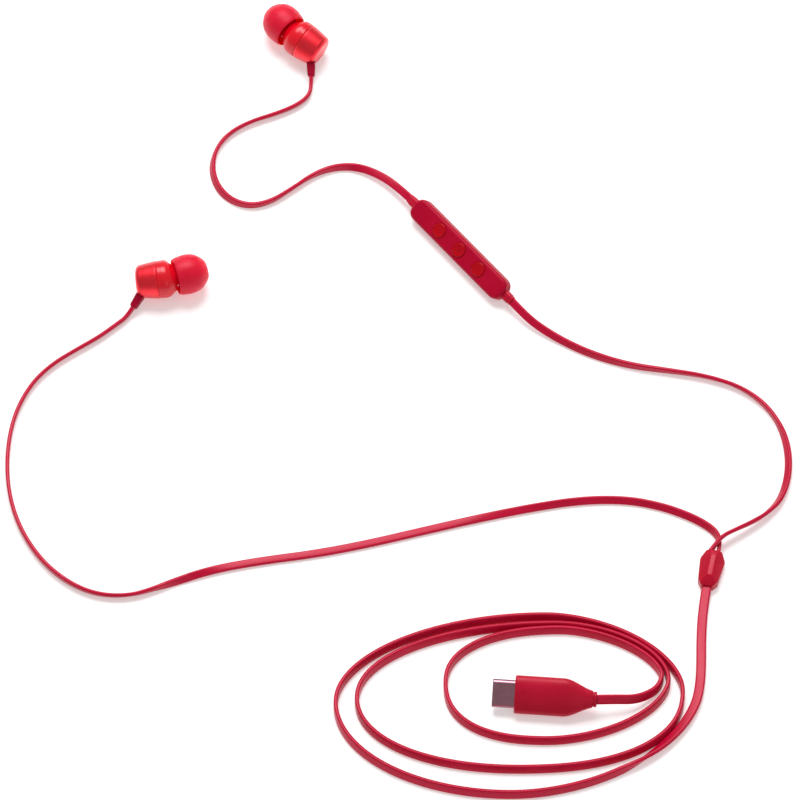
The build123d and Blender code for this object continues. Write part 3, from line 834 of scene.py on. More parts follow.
@dataclass
class Coil:
    """Loose coil of the main lead: quarter turns between extremes at its right, front, left and back."""

    swings: Sequence[CoilSwing]
    height: float = 1.45
    steps: int = 8

    def route(self) -> list[Spot]:
        """Control points of every quarter turn, eight to each."""
        points = []
        for number, (start, end) in enumerate(zip(self.swings, self.swings[1:])):
            power = 2 / end.fullness
            for step in range(self.steps):
                angle = math.pi / 2 * step / self.steps
                late, early = math.cos(angle) ** power, math.sin(angle) ** power
                if number % 2 == 0:
                    x, y = end.x + (start.x - end.x) * late, start.y + (end.y - start.y) * early
                else:
                    x, y = start.x + (end.x - start.x) * early, end.y + (start.y - end.y) * late
                points.append((x, y, self.height))
        last = self.swings[-1]
        return points + [(last.x, last.y, self.height)]


# ---------------------------------------------------------------- earpiece
@dataclass(frozen=True)
class EarpieceSize:
    """Sizes of one earpiece in millimetres and degrees, in its own frame."""

    shell_r: float = 5.7
    back_r: float = 5.05
    back_corner: float = 1.6
    shell_len: float = 6.7
    shell_wall: float = 0.8
    neck_r: float = 3.6
    pivot: float = 10.5
    tilt: float = 17.0
    turn: float = 132.0
    bend_half: float = 1.7
    bore_r: float = 1.9
    screen_r: float = 2.12
    nozzle_end: float = 7.4
    vent_r: float = 0.22
    vent_at: float = 1.1
    vent_turn: float = -35.0
    gauze_reach: float = 3.72
    tip_start: float = 1.5
    tip_len: float = 9.6
    relief_angle: float = 53.0
    relief_x: float = 4.45
    relief_z: float = 0.65
    relief_out: float = 4.1
    relief_w: float = 2.5
    relief_t: float = 2.9
    rise: float = 7.5
    drop: float = 18.0
    height: float = 4.863


@dataclass
class Earpiece:
    """One earpiece: metal rear shell, lacquered front, screened nozzle, silicone tip and strain relief."""

    side: Side
    x: float
    y: float
    azimuth: float
    size: EarpieceSize = EarpieceSize()

    @property
    def place(self) -> Placement:
        """Frame of the body: z from the flat back to the ear, x to the cable side."""
        azimuth, rise, drop = (math.radians(a) for a in (self.azimuth, self.size.rise, self.size.drop))
        axis = Vector((math.cos(azimuth) * math.cos(rise), math.sin(azimuth) * math.cos(rise),
                       math.sin(rise)))
        hand = -self.side.value
        level = Vector((-math.sin(azimuth), math.cos(azimuth), 0)) * hand
        cable_side = level * math.cos(drop) - axis.cross(level) * (hand * math.sin(drop))
        return Placement(Vector((self.x, self.y, self.size.height)), cable_side, axis, self.side.value)

    @property
    def nozzle_axis(self) -> Vector:
        """Direction of the tilted nozzle in the body's frame."""
        tilt, turn = math.radians(self.size.tilt), math.radians(self.size.turn)
        return Vector((math.sin(tilt) * math.cos(turn), math.sin(tilt) * math.sin(turn), math.cos(tilt)))

    @property
    def nozzle_place(self) -> Placement:
        """Frame of the nozzle, from the pivot."""
        return self.place.moved(Vector((0, 0, self.size.pivot)), Vector((1, 0, 0)), self.nozzle_axis)

    @property
    def relief_place(self) -> Placement:
        """Frame of the strain relief: z out along the cable."""
        angle = math.radians(self.size.relief_angle)
        out = Vector((math.sin(angle), 0, -math.cos(angle)))
        across = Vector((math.cos(angle), 0, math.sin(angle)))
        return self.place.moved(Vector((self.size.relief_x, 0, self.size.relief_z)), across, out)

    def cable_start(self) -> list[Spot]:
        """Mouth of the strain relief and a point 3.4 mm further out, in millimetres."""
        place = self.relief_place.matrix
        return [tuple(place @ Vector((0, 0, reach)) / MM) for reach in (self.size.relief_out,
                                                                      self.size.relief_out + 3.4)]

    def cable_lean(self) -> Lean:
        """Lean of the flat cable where it leaves the strain relief."""
        across = self.place.matrix.to_3x3() @ Vector((0, 1, 0))
        return Lean(0.0, across.x / across.z, across.y / across.z)

    def spine(self, along: float) -> tuple[Vector, Vector]:
        """Centre and direction of the body's axis, which bends into the nozzle's."""
        size = self.size
        past = along - size.pivot
        pivot = Vector((0, 0, size.pivot))
        if past <= -size.bend_half:
            return Vector((0, 0, along)), UP
        if past >= size.bend_half:
            return pivot + self.nozzle_axis * past, self.nozzle_axis
        before, after = size.bend_half - past, size.bend_half + past
        scale = 4 * size.bend_half
        centre = pivot - UP * (before ** 2 / scale) + self.nozzle_axis * (after ** 2 / scale)
        return centre, (UP * before + self.nozzle_axis * after).normalized()

    def name(self, piece: str) -> str:
        """Name of one of its pieces."""
        return f"{self.side.word}_{piece}"

    def rear_shell(self) -> Thing:
        """Turned cup: flat back, rounded corner, flank that widens to a polished chamfer at the seam."""
        size = self.size
        seam, radius = size.shell_len, size.shell_r
        outer = [(0.0, 0.0), (1.2, 0.0), (2.6, 0.0)]
        outer += arc((size.back_r - size.back_corner, size.back_corner), size.back_corner, -90, 0, 10)
        outer += through([(size.back_r, size.back_corner), (radius - 0.42, 3.0), (radius - 0.17, 4.8),
                          (radius - 0.03, 5.8)], 6)[1:]
        outer += [(radius, seam - 0.75), (radius, seam - 0.34), (radius - 0.14, seam - 0.06),
                  (radius - 0.24, seam)]
        bore = radius - size.shell_wall
        inner = [(bore, seam), (bore, 4.3), (4.15, 1.9), (3.45, 0.8), (0.0, 0.8)]
        opening = loft([[Vector((x, y, reach)) for x, y in rounded_rectangle(2.62, 3.02, 0.5)]
                        for reach in (-2.6, 2.6)])
        return make_piece(self.name("shell"), lathe(outer + inner, 160), self.place,
                          Look("anodised", "anodised_shell", 20.0), [self.name("rear_shell")],
                          cutters=[cutter_from(opening, self.relief_place)])

    def front_housing(self) -> Thing:
        """Band, shoulder and neck on a bending axis, and the nozzle with its lip and bore."""
        size = self.size
        seam, p, end = size.shell_len, size.pivot, size.pivot + size.nozzle_end
        outer = [(5.42, seam), (5.44, seam + 0.1), (5.6, seam + 0.14), (5.7, seam + 0.26)]
        outer += through([(5.7, seam + 0.26), (5.71, 7.8), (5.7, 8.7), (5.52, 9.4), (5.05, 10.1), (4.4, 10.8),
                          (3.92, 11.5), (3.66, 12.2), (size.neck_r, p + 2.45)], 6)[1:]
        outer += [(size.neck_r - 0.15, p + 2.6), (2.5, p + 2.6), (2.5, p + 6.1), (2.6, p + 6.2),
                  (2.75, p + 6.35), (2.75, p + 7.1), (2.6, p + 7.25), (2.5, end)]
        inner = [(2.15, end), (2.15, p + 7.2), (size.bore_r, p + 7.2), (size.bore_r, 9.9), (4.38, 9.4),
                 (4.38, 5.5), (4.87, 5.5), (4.87, seam - 0.12), (5.2, seam - 0.05), (5.42, seam)]
        hole = lathe([(0, 0), (size.vent_r, 0), (size.vent_r, 3.0), (0, 3.0)], 32)
        return make_piece(self.name("front"), lathe(outer + inner, 160, self.spine), self.place,
                          Look("lacquer", "painted_housing", 28.0), [self.name("front_housing")],
                          cutters=[cutter_from(hole, self.vent_place(3.0))])

    def vent_place(self, reach: float) -> Placement:
        """Frame of the pin-hole vent on the neck, with z outwards from a distance off the axis."""
        turn = math.radians(self.size.vent_turn)
        out = Vector((math.cos(turn), math.sin(turn), 0))
        return self.nozzle_place.moved(out * reach + Vector((0, 0, self.size.vent_at)), UP, out)

    def vent_gauze(self) -> Thing:
        """Tiny disc of gauze in the vent, at the neck's surface; its pale colour is a painted highlight."""
        disc = lathe([(0, 0), (0.21, 0), (0.21, 0.08), (0.12, 0.1), (0, 0.11)], 24)
        return make_piece(self.name("vent_gauze"), disc, self.vent_place(self.size.gauze_reach),
                          Look("vent", "steel_mesh"))

    def screen(self) -> Thing:
        """Woven wire screen in the nozzle's mouth: two crossing rows of waved wires."""
        size = self.size
        weave = RepeatTree("woven screen", {"Wire pitch": 0.24 * MM, "Wire radius": 0.05 * MM,
                                            "Screen radius": size.screen_r * MM, "Wires": 17}, "wire")
        return settle(weave_screen(weave, self.name("screen"),
                                   self.nozzle_place.moved(Vector((0, 0, size.nozzle_end - 0.12)))),
                      "root", "steel_mesh", [self.name("nozzle_mesh")])

    def tip(self) -> Thing:
        """Silicone dome with a thin rolled rim, a hollow behind it, and a stem round the nozzle."""
        start = self.size.tip_start
        front = start + self.size.tip_len
        dome = [(5.45, 0.0), (5.64, 0.05), (5.84, 0.17), (6.0, 0.345), (5.84, 0.52), (5.36, 0.68),
                (4.62, 0.8), (3.6, 0.91), (2.85, 0.968), (2.3, 0.996)]
        outer = [(radius, start + share * (front - start)) for radius, share in dome]
        mouth = [(2.08, front), (1.93, front - 0.12), (1.9, front - 0.4), (1.9, 7.6), (2.8, 7.55),
                 (2.8, 2.95)]
        stem = [(2.9, 2.82), (3.4, 2.82), (3.5, 2.95), (3.5, start + 5.6), (3.62, start + 6.5)]
        hollow = through([(3.62, start + 6.5), (3.95, start + 6.95), (4.5, start + 6.5), (5.0, start + 5.1),
                          (5.26, start + 3.3), (5.22, start + 1.6), (5.05, start + 0.5),
                          (5.0, start + 0.05)], 5)[1:]
        rim = arc((5.22, start), 0.22, 180, 330, 6)
        shape = lathe(through(outer, 6) + mouth + stem + hollow + rim + [(5.45, start)], 128)
        return make_piece(self.name("tip"), shape, self.nozzle_place, Look("silicone", "silicone", 38.0),
                          [self.name("ear_tip")], body=self.name("tip"))

    def relief(self) -> Thing:
        """Tapered strain relief with three shallow grooves."""
        width, thick = self.size.relief_w, self.size.relief_t
        rows = [(-1.3, width, thick), (1.0, width, thick)]
        for groove in (1.25, 1.95, 2.65):
            share = (groove - 1.0) / 3.1
            wide, tall = width - 0.3 * share, thick - 0.15 * share
            rows += [(groove - 0.12, wide, tall), (groove - 0.06, wide - 0.16, tall - 0.16),
                     (groove + 0.12, wide - 0.17, tall - 0.17), (groove + 0.18, wide - 0.03, tall - 0.03)]
        rows += [(3.3, 2.24, 2.78), (3.7, 2.1, 2.72), (3.92, 1.9, 2.64), (4.05, 1.64, 2.54), (4.1, 1.4, 2.44)]
        rings = [[Vector((x, y, z)) for x, y in rounded_rectangle(wide, tall, 0.45)]
                 for z, wide, tall in rows]
        return make_piece(self.name("relief"), loft(rings), self.relief_place, Look("overmould", "overmould"),
                          [self.name("strain_relief")])

    def build(self) -> None:
        """Make every piece and dress the driver's CAD nodes."""
        self.rear_shell()
        self.front_housing()
        self.vent_gauze()
        self.screen()
        self.tip()
        self.relief()
        for node, finish in (("driver_basket", "pressed_steel"), ("driver_magnet", "magnet"),
                             ("voice_coil", "copper"), ("diaphragm", "film")):
            dress_node(self.name(node), finish)


def weave_screen(weave: RepeatTree, name: str, place: Placement) -> Thing:
    """Fill the woven screen's tree and bake it.

    Args:
        weave: Tree with the screen's sizes as inputs.
        name: Name of the piece.
        place: Frame of the screen, z along the nozzle.

    Returns:
        The screen as one mesh.
    """
    node, sum_of = weave.node, weave.sum_of
    pitch, radius, count = (weave.given(key) for key in ("Wire pitch", "Wire radius", "Wires"))
    joined = node("GeometryNodeJoinGeometry")
    half = sum_of("MULTIPLY", sum_of("SUBTRACT", count, 1.0), 0.5)
    reach = sum_of("MULTIPLY", half, pitch)
    for way in (0, 1):
        line = node("GeometryNodeMeshLine", inputs={"Count": count, "Offset": (0, 0, 0)})
        index = node("GeometryNodeInputIndex").outputs[0]
        shift = sum_of("SUBTRACT", sum_of("MULTIPLY", index, pitch), reach)
        spot = node("ShaderNodeCombineXYZ", inputs={"Y" if way == 0 else "X": shift})
        laid = node("GeometryNodeSetPosition",
                    inputs={"Geometry": line.outputs["Mesh"], "Position": spot.outputs[0]})
        chord = sum_of("SQRT", sum_of(
            "MAXIMUM", sum_of("SUBTRACT", sum_of("POWER", weave.given("Screen radius"), 2.0),
                              sum_of("POWER", shift, 2.0)), 1e-9), 0.0)
        far = node("ShaderNodeCombineXYZ", inputs={"X" if way == 0 else "Y": 1.0}).outputs[0]
        wire = node("GeometryNodeCurvePrimitiveLine",
                    inputs={"Start": (-1, 0, 0) if way == 0 else (0, -1, 0), "End": far})
        fine = node("GeometryNodeResampleCurve", inputs={"Curve": wire.outputs["Curve"], "Count": 49})
        size = node("ShaderNodeCombineXYZ", inputs={"X": chord, "Y": chord, "Z": 1.0})
        placed = node("GeometryNodeInstanceOnPoints",
                      inputs={"Points": laid.outputs["Geometry"], "Instance": fine.outputs["Curve"],
                              "Scale": size.outputs[0]})
        real = node("GeometryNodeRealizeInstances", inputs={"Geometry": placed.outputs[0]})
        here = node("ShaderNodeSeparateXYZ",
                    inputs={"Vector": node("GeometryNodeInputPosition").outputs[0]})
        along, across = (here.outputs[0], here.outputs[1]) if way == 0 else (here.outputs[1], here.outputs[0])
        step = sum_of("DIVIDE", along, pitch)
        row = sum_of("DIVIDE", across, pitch)
        phase = sum_of("MULTIPLY", sum_of("ADD", step, sum_of("ADD", row, float(way))), math.pi)
        lift = sum_of("MULTIPLY", sum_of("COSINE", phase, 0.0), radius)
        wave = node("ShaderNodeCombineXYZ", inputs={"Z": lift})
        waved = node("GeometryNodeSetPosition",
                     inputs={"Geometry": real.outputs[0], "Offset": wave.outputs[0]})
        section = node("GeometryNodeCurvePrimitiveCircle",
                       inputs={"Resolution": 8, "Radius": radius})
        tube = node("GeometryNodeCurveToMesh",
                    inputs={"Curve": waved.outputs["Geometry"],
                            "Profile Curve": section.outputs["Curve"],
                            "Fill Caps": True})
        weave.tree.links.new(tube.outputs["Mesh"], joined.inputs["Geometry"])
    return weave.bake(name, joined.outputs["Geometry"], place)


def dress_node(node: str, finish: str) -> None:
    """Give a CAD node that stays a procedural material."""
    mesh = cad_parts[node].data
    mesh.materials.clear()
    mesh.materials.append(material(finish))
    log.info("%s: CAD shape, %s", node, finish)


# ---------------------------------------------------------------- remote
@dataclass(frozen=True)
class RemoteSize:
    """Sizes of the in-line remote in millimetres, in its own frame: x down the cable, z out of the face."""

    length: float = 41.4
    width: float = 7.2
    half_thick: float = 2.4
    bevel: float = 1.1
    back_bevel: float = 1.5
    wall: float = 0.9
    button_r: float = 2.3
    button_gap: float = 0.05
    button_proud: float = 0.3
    button_depth: float = 1.33
    flange: float = 0.4
    pitch: float = 9.0
    offset: float = 0.6
    mic_x: float = -3.9
    mic_y: float = 1.75
    mic_r: float = 0.16
    sleeve_w: float = 3.1
    sleeve_t: float = 2.3
    sleeve_len: float = 3.2
    sleeve_in: float = 1.6
    x: float = 68.95
    y: float = -34.1
    azimuth: float = -49.9
    roll: float = 35.0
    height: float = 3.442
    end_power: float = 0.8


@dataclass
class Remote:
    """Slim case in two covers with three round buttons, a microphone hole and two cable sleeves."""

    size: RemoteSize = RemoteSize()

    @property
    def place(self) -> Placement:
        """Frame of the remote as it lies."""
        size = self.size
        return surface_place(size.x, size.y, size.height, size.azimuth, size.roll)

    def slot_ring(self, inset: float, z: float, steps: int = 28) -> list[Vector]:
        """Closed ring of a bar with round ends, moved inwards by an inset."""
        half = self.size.width / 2
        reach = self.size.length / 2 - half
        scale = (half - inset) / half
        ring = []
        for end in (1, -1):
            for step in range(steps + 1):
                angle = math.radians(-90 + 180 * step / steps)
                out, side = (abs(part) ** self.size.end_power for part in (math.cos(angle), math.sin(angle)))
                ring.append(Vector((end * (reach + half * scale * out),
                                    end * math.copysign(half * scale * side, math.sin(angle)), z)))
        return ring

    def cover(self, name: str, rows: Sequence[Flat], low: float, high: float,
              node: str) -> Thing:
        """Make one cover from its outer rows, and cut out its room and openings.

        Args:
            name: Name of the piece.
            rows: Outer rows as (inset, height).
            low: Lower height of the room inside.
            high: Upper height of the room inside.
            node: CAD node that it stands for.

        Returns:
            The cover.
        """
        size = self.size
        cutters = [cutter_from(loft([self.slot_ring(size.wall, z) for z in (low, high)]), self.place)]
        sleeve = rounded_rectangle(size.sleeve_w + 0.06, size.sleeve_t + 0.06, 0.9)
        for end in (-1, 1):
            bar = [[Vector((end * x, y, z)) for y, z in sleeve]
                   for x in (size.length / 2 - size.sleeve_in - 0.4, size.length / 2 + 1)]
            cutters.append(cutter_from(loft(bar), self.place))
        if high > 0.5:
            for x in self.button_places():
                cutters.append(self.well(x, 0.0, size.button_r + size.button_gap, 72))
            cutters.append(self.well(size.mic_x, size.mic_y, size.mic_r, 32))
        return make_piece(name, loft([self.slot_ring(inset, z) for inset, z in rows]), self.place,
                          Look("case", "remote_case", 24.0), [node], cutters=cutters)

    def well(self, x: float, y: float, radius: float, segments: int) -> Thing:
        """Round opening through the face, with a small chamfer at its edge."""
        top = self.size.half_thick
        outline = [(0, 0.2), (radius, 0.2), (radius, top - 0.06), (radius + 0.08, top + 0.02)]
        outline += [(radius + 0.08, top + 1), (0, top + 1)]
        return cutter_from(lathe(outline, segments), self.place.moved(Vector((x, y, 0))))

    def button_places(self) -> list[float]:
        """Local x of the three buttons, from the upper end of the remote to the lower."""
        return [self.size.offset + self.size.pitch * step for step in (-1, 0, 1)]

    def bevel_rows(self, bevel: float, top: float, steps: int = 8) -> list[Flat]:
        """Rows of a round bevel that ends at a height, as (inset, height)."""
        rows = []
        sign = math.copysign(1, top)
        for step in range(steps + 1):
            angle = math.radians(90 * step / steps)
            rows.append((bevel * (1 - math.cos(angle)), top - sign * bevel * (1 - math.sin(angle))))
        return rows

    def covers(self) -> None:
        """Make both covers, with the parting groove between them."""
        size = self.size
        front = [(0.06, 0.0), (0.05, 0.03), (0.0, 0.07)] + self.bevel_rows(size.bevel, size.half_thick)
        front += [(size.bevel + 0.35, size.half_thick)]
        self.cover("remote_face", front, -0.5, size.half_thick - size.wall, "remote_front_cover")
        back = [(0.06, 0.0), (0.05, -0.03), (0.0, -0.07)] + self.bevel_rows(size.back_bevel, -size.half_thick)
        back += [(size.back_bevel + 0.3, -size.half_thick)]
        self.cover("remote_back", back, -size.half_thick + size.wall, 0.5, "remote_back_cover")

    def button(self, x: float, name: str, with_nub: bool) -> Thing:
        """Round cap with a rolled edge, a shallow dish, and a dot to feel on the middle one.

        Args:
            x: Local x of its middle.
            name: CAD node that it stands for, such as "button_play".
            with_nub: Whether it carries the dot.

        Returns:
            The button.
        """
        r = self.size.button_r
        flange = self.size.flange
        top = self.size.half_thick + self.size.button_proud
        low = self.size.half_thick - self.size.button_depth
        crown = through([(r, top - 0.42), (r - 0.05, top - 0.2), (r - 0.22, top - 0.05), (r - 0.45, top)], 5)
        dish = through([(r - 0.45, top), (r - 0.75, top - 0.05), (r - 1.2, top - 0.12),
                        (0.45, top - 0.15)], 5)
        nub = [(0.36, top - 0.15), (0.3, top - 0.03), (0.2, top + 0.08), (0.1, top + 0.12),
               (0.0, top + 0.13)]
        middle = nub if with_nub else [(0.2, top - 0.155), (0.0, top - 0.155)]
        outline = [(0.0, low), (r + flange, low), (r + flange, low + flange), (r, low + flange)]
        outline += crown + dish[1:] + middle
        word = name.replace("button_", "")
        return make_piece(word + "_cap", lathe(outline, 96), self.place.moved(Vector((x, 0, 0))),
                          Look("button", "button", 32.0), [name], body=word + "_button")

    def sleeve(self, end: int, word: str) -> Thing:
        """Short sleeve round the cable at one end, with a step and a rounded mouth."""
        size = self.size
        start = size.length / 2 - size.sleeve_in
        far = size.length / 2 + size.sleeve_len
        rows = [(start, 0.0), (size.length / 2 + 0.5, 0.0)]
        step = far - 0.95
        rows += [(step - 0.1, 0.04), (step, 0.2), (step + 0.12, 0.24)]
        rows += [(far - 0.4, 0.27), (far - 0.2, 0.3), (far - 0.05, 0.4), (far, 0.56)]
        rings = [[Vector((end * x, y, z)) for y, z in
                  rounded_rectangle(size.sleeve_w - inset, size.sleeve_t - inset, 0.9)] for x, inset in rows]
        return make_piece(f"{word}_sleeve", loft(rings), self.place, Look("plug", "overmould"),
                          [f"remote_{word}_sleeve"])

    def cable_end(self, end: int, beyond: float = 0.0, drop: float = 0.0) -> Spot:
        """Point on the remote's axis at the mouth of a sleeve, or beyond it, in millimetres."""
        size = self.size
        reach = end * (size.length / 2 + size.sleeve_len + beyond)
        angle = math.radians(size.azimuth)
        return (size.x + reach * math.cos(angle), size.y + reach * math.sin(angle), size.height - drop)

    def build(self) -> None:
        """Make the covers, buttons and sleeves, and dress the inner CAD nodes."""
        self.covers()
        for x, name in zip(self.button_places(), ("button_volume_up", "button_play", "button_volume_down")):
            self.button(x, name, name == "button_play")
        self.sleeve(-1, "upper")
        self.sleeve(1, "lower")
        for node, finish in (("remote_switch_board", "board"), ("remote_tact_switches", "insert"),
                             ("remote_microphone", "pressed_steel")):
            dress_node(node, finish)


# ---------------------------------------------------------------- y-split
@dataclass(frozen=True)
class SplitSize:
    """Sizes of the Y-split in millimetres: x towards the main lead, z up."""

    back: float = 5.5
    front: float = 6.0
    thick: float = 4.6
    edge: float = 0.42
    x: float = 141.95
    y: float = -143.1
    azimuth: float = -102.4


@dataclass
class YSplit:
    """Faceted block where the two branches join the main lead."""

    size: SplitSize = SplitSize()

    def point(self, along: float, across: float, height: float) -> Spot:
        """Point of the split's own frame, in the row's millimetres."""
        angle = math.radians(self.size.azimuth)
        return (self.size.x + along * math.cos(angle) - across * math.sin(angle),
                self.size.y + along * math.sin(angle) + across * math.cos(angle), height)

    def facets(self) -> list[tuple[Vector, Vector]]:
        """Every flat of the block as a point on it and its outward direction, from three outlines."""
        size = self.size
        plan = [(-size.back, 2.35), (-3.0, 3.75), (4.4, 2.95), (size.front, 1.75)]
        section = [(-3.8, 1.3), (-3.0, 0.0), (3.0, 0.0), (3.8, 1.3), (3.6, 2.5), (0.95, size.thick),
                   (-0.5, size.thick), (-3.6, 2.3)]
        side = [(size.front, 0.0), (size.front, 2.9), (3.2, size.thick), (-3.4, size.thick),
                (-size.back, 4.1), (-size.back, 0.0)]
        flats = []
        for (x0, y0), (x1, y1) in zip(plan, plan[1:]):
            for hand in (1, -1):
                flats.append((Vector((x0, hand * y0, 0)), Vector((y0 - y1, hand * (x1 - x0), 0))))
        for (y0, z0), (y1, z1) in zip(section, section[1:] + section[:1]):
            flats.append((Vector((0, y0, z0)), Vector((0, z1 - z0, y0 - y1))))
        for (x0, z0), (x1, z1) in zip(side, side[1:]):
            flats.append((Vector((x0, 0, z0)), Vector((z1 - z0, 0, x0 - x1))))
        return flats

    def build(self) -> Thing:
        """Cut the block down to its facets and break its edges."""
        shape = bmesh.new()
        bmesh.ops.create_cube(shape, size=16.0)
        for point, out in self.facets():
            if out.length < 1e-6:
                continue
            cutting = bmesh.ops.bisect_plane(shape, geom=shape.verts[:] + shape.edges[:] + shape.faces[:],
                                             plane_co=point, plane_no=out.normalized(), clear_outer=True)
            rim = [item for item in cutting["geom_cut"] if isinstance(item, bmesh.types.BMEdge)]
            if rim:
                bmesh.ops.contextual_create(shape, geom=rim)
        bmesh.ops.dissolve_limit(shape, angle_limit=math.radians(1), verts=shape.verts, edges=shape.edges)
        bmesh.ops.bevel(shape, geom=shape.edges[:], offset=self.size.edge, segments=4, profile=0.5,
                        affect="EDGES", clamp_overlap=True)
        place = surface_place(self.size.x, self.size.y, 0.0, self.size.azimuth)
        return make_piece("split_block", shape, place, Look("split", "overmould", 30.0), ["y_split"])


# ---------------------------------------------------------------- plug
@dataclass(frozen=True)
class PlugSize:
    """Sizes of the plug in millimetres: x from the connector to the cable, z out of the broad face."""

    length: float = 23.9
    width: float = 11.3
    thick: float = 5.4
    straight: float = 14.2
    fullness: float = 2.3
    end_w: float = 4.6
    end_t: float = 3.2
    usb_w: float = 8.34
    usb_t: float = 2.56
    usb_out: float = 6.5
    usb_in: float = 3.6
    usb_wall: float = 0.3
    contacts: int = 12
    contact_pitch: float = 0.5
    blade_len: float = 4.6
    blade_w: float = 0.25
    blade_t: float = 0.14
    blade_row: float = 0.43
    blade_mid: float = 3.4
    room_w: float = 8.2
    room_t: float = 3.2
    room_end: float = 15.0
    exit_x: float = 107.8
    exit_y: float = -187.7
    azimuth: float = -4.2
    roll: float = 38.0
    height: float = 4.821


@dataclass
class Plug:
    """USB-C plug: drawn shell, insert with contacts, and a soft overmould that tapers to the cable."""

    size: PlugSize = PlugSize()

    @property
    def place(self) -> Placement:
        """Frame of the plug as it lies, with its origin at the overmould's connector end."""
        size = self.size
        end = surface_place(size.exit_x, size.exit_y, size.height, size.azimuth, size.roll)
        return end.moved(Vector((-size.length, 0, 0)))

    def ring(self, x: float, width: float, thick: float, radius: float) -> list[Vector]:
        """Rounded rectangle across the plug."""
        return [Vector((x, y, z)) for y, z in rounded_rectangle(width, thick, radius, 10)]

    def pillow(self, x: float, width: float, thick: float) -> list[Vector]:
        """Softly crowned section across the plug, between an oval and a rectangle."""
        power = 2 / self.size.fullness
        points = []
        for step in range(88):
            angle = 2 * math.pi * step / 88
            side, up = math.cos(angle), math.sin(angle)
            points.append(Vector((x, math.copysign(abs(side) ** power, side) * width / 2,
                                  math.copysign(abs(up) ** power, up) * thick / 2)))
        return points

    def overmould(self) -> Thing:
        """Rounded bar with a waist step, a long taper, and a collar round the cable."""
        size = self.size
        rows = []
        for step in range(6):
            angle = math.radians(90 * step / 5)
            inset = 0.5 * (1 - math.sin(angle))
            rows.append((0.5 * (1 - math.cos(angle)), size.width - 2 * inset, size.thick - 2 * inset))
        rows += [(3.0, size.width, size.thick), (8.0, size.width, size.thick)]
        shares = [(0.0, 1.0), (0.06, 0.985), (0.12, 0.955), (0.2, 0.89), (0.3, 0.78), (0.4, 0.645),
                  (0.52, 0.47), (0.64, 0.3), (0.76, 0.16), (0.86, 0.07)]
        taper = size.length - size.straight
        for along, share in shares:
            rows.append((size.straight + taper * along, size.end_w + (size.width - size.end_w) * share,
                         size.end_t + (size.thick - size.end_t) * share))
        tail = [(-1.15, -0.04), (-1.09, 0.3), (-0.85, 0.32), (-0.79, 0.0), (-0.25, 0.04), (-0.06, 0.3),
                (0.0, 0.6)]
        rows += [(size.length + x, size.end_w - inset, size.end_t - inset) for x, inset in tail]
        rings = [self.pillow(x, wide, tall) for x, wide, tall in rows]
        seat = loft([self.ring(x, size.usb_w + 0.08, size.usb_t + 0.08, 1.29) for x in (-1.0, size.usb_in)])
        room = loft([self.ring(x, size.room_w, size.room_t, 0.3) for x in (size.usb_in - 0.2, size.room_end)])
        return make_piece("plug_body", loft(rings), self.place, Look("plug", "overmould", 30.0),
                          ["plug_overmould"], cutters=[cutter_from(gap, self.place) for gap in (seat, room)])

    def shell(self) -> Thing:
        """Drawn tube with a rolled mouth."""
        size = self.size
        outer = [(size.usb_in, 0.0), (-size.usb_out + 0.35, 0.0), (-size.usb_out + 0.12, 0.06),
                 (-size.usb_out, 0.2)]
        inner = [(-size.usb_out, 0.42), (-size.usb_out + 0.15, 2 * size.usb_wall),
                 (size.usb_in, 2 * size.usb_wall)]
        rings = [self.ring(x, size.usb_w - inset, size.usb_t - inset, (size.usb_t - inset) / 2)
                 for x, inset in outer + inner]
        shape = loft(rings + rings[:1], capped=False)
        bmesh.ops.remove_doubles(shape, verts=shape.verts, dist=1e-4)
        return make_piece("connector_shell", shape, self.place, Look("nickel", "plated_steel", 35.0),
                          ["usb_shell"])

    def contacts(self) -> Thing:
        """Two facing rows of gold blades along the slot, repeated with Geometry Nodes."""
        size = self.size
        rows = RepeatTree("contact rows", {"Contacts": size.contacts, "Pitch": size.contact_pitch * MM,
                                           "Length": size.blade_len * MM, "Blade width": size.blade_w * MM,
                                           "Blade thickness": size.blade_t * MM,
                                           "Row height": size.blade_row * MM}, "gold")
        node, sum_of, given = rows.node, rows.sum_of, rows.given
        joined = node("GeometryNodeJoinGeometry")
        sizes = node("ShaderNodeCombineXYZ", inputs={"X": given("Length"), "Y": given("Blade width"),
                                                     "Z": given("Blade thickness")})
        blade = node("GeometryNodeMeshCube", inputs={"Size": sizes.outputs[0], "Vertices X": 6})
        half = sum_of("MULTIPLY", sum_of("SUBTRACT", given("Contacts"), 1.0), 0.5)
        for row in (-1.0, 1.0):
            line = node("GeometryNodeMeshLine", inputs={"Count": given("Contacts"), "Offset": (0, 0, 0)})
            index = node("GeometryNodeInputIndex").outputs[0]
            y = sum_of("MULTIPLY", sum_of("SUBTRACT", index, half), given("Pitch"))
            z = sum_of("MULTIPLY", given("Row height"), row)
            spot = node("ShaderNodeCombineXYZ",
                        inputs={"X": (size.blade_mid - size.usb_out) * MM, "Y": y, "Z": z})
            laid = node("GeometryNodeSetPosition",
                        inputs={"Geometry": line.outputs["Mesh"], "Position": spot.outputs[0]})
            placed = node("GeometryNodeInstanceOnPoints",
                          inputs={"Points": laid.outputs["Geometry"], "Instance": blade.outputs["Mesh"]})
            rows.tree.links.new(placed.outputs[0], joined.inputs["Geometry"])
        thing = rows.bake("contact_blades", joined.outputs["Geometry"], self.place)
        return settle(thing, "root", "gold", ["usb_contacts"])

    def build(self) -> None:
        """Make the overmould, shell and contacts, and dress the inner CAD nodes."""
        self.overmould()
        self.shell()
        self.contacts()
        for node, finish in (("usb_insulator", "insert"), ("dac_board", "board"), ("dac_chip", "insert")):
            dress_node(node, finish)


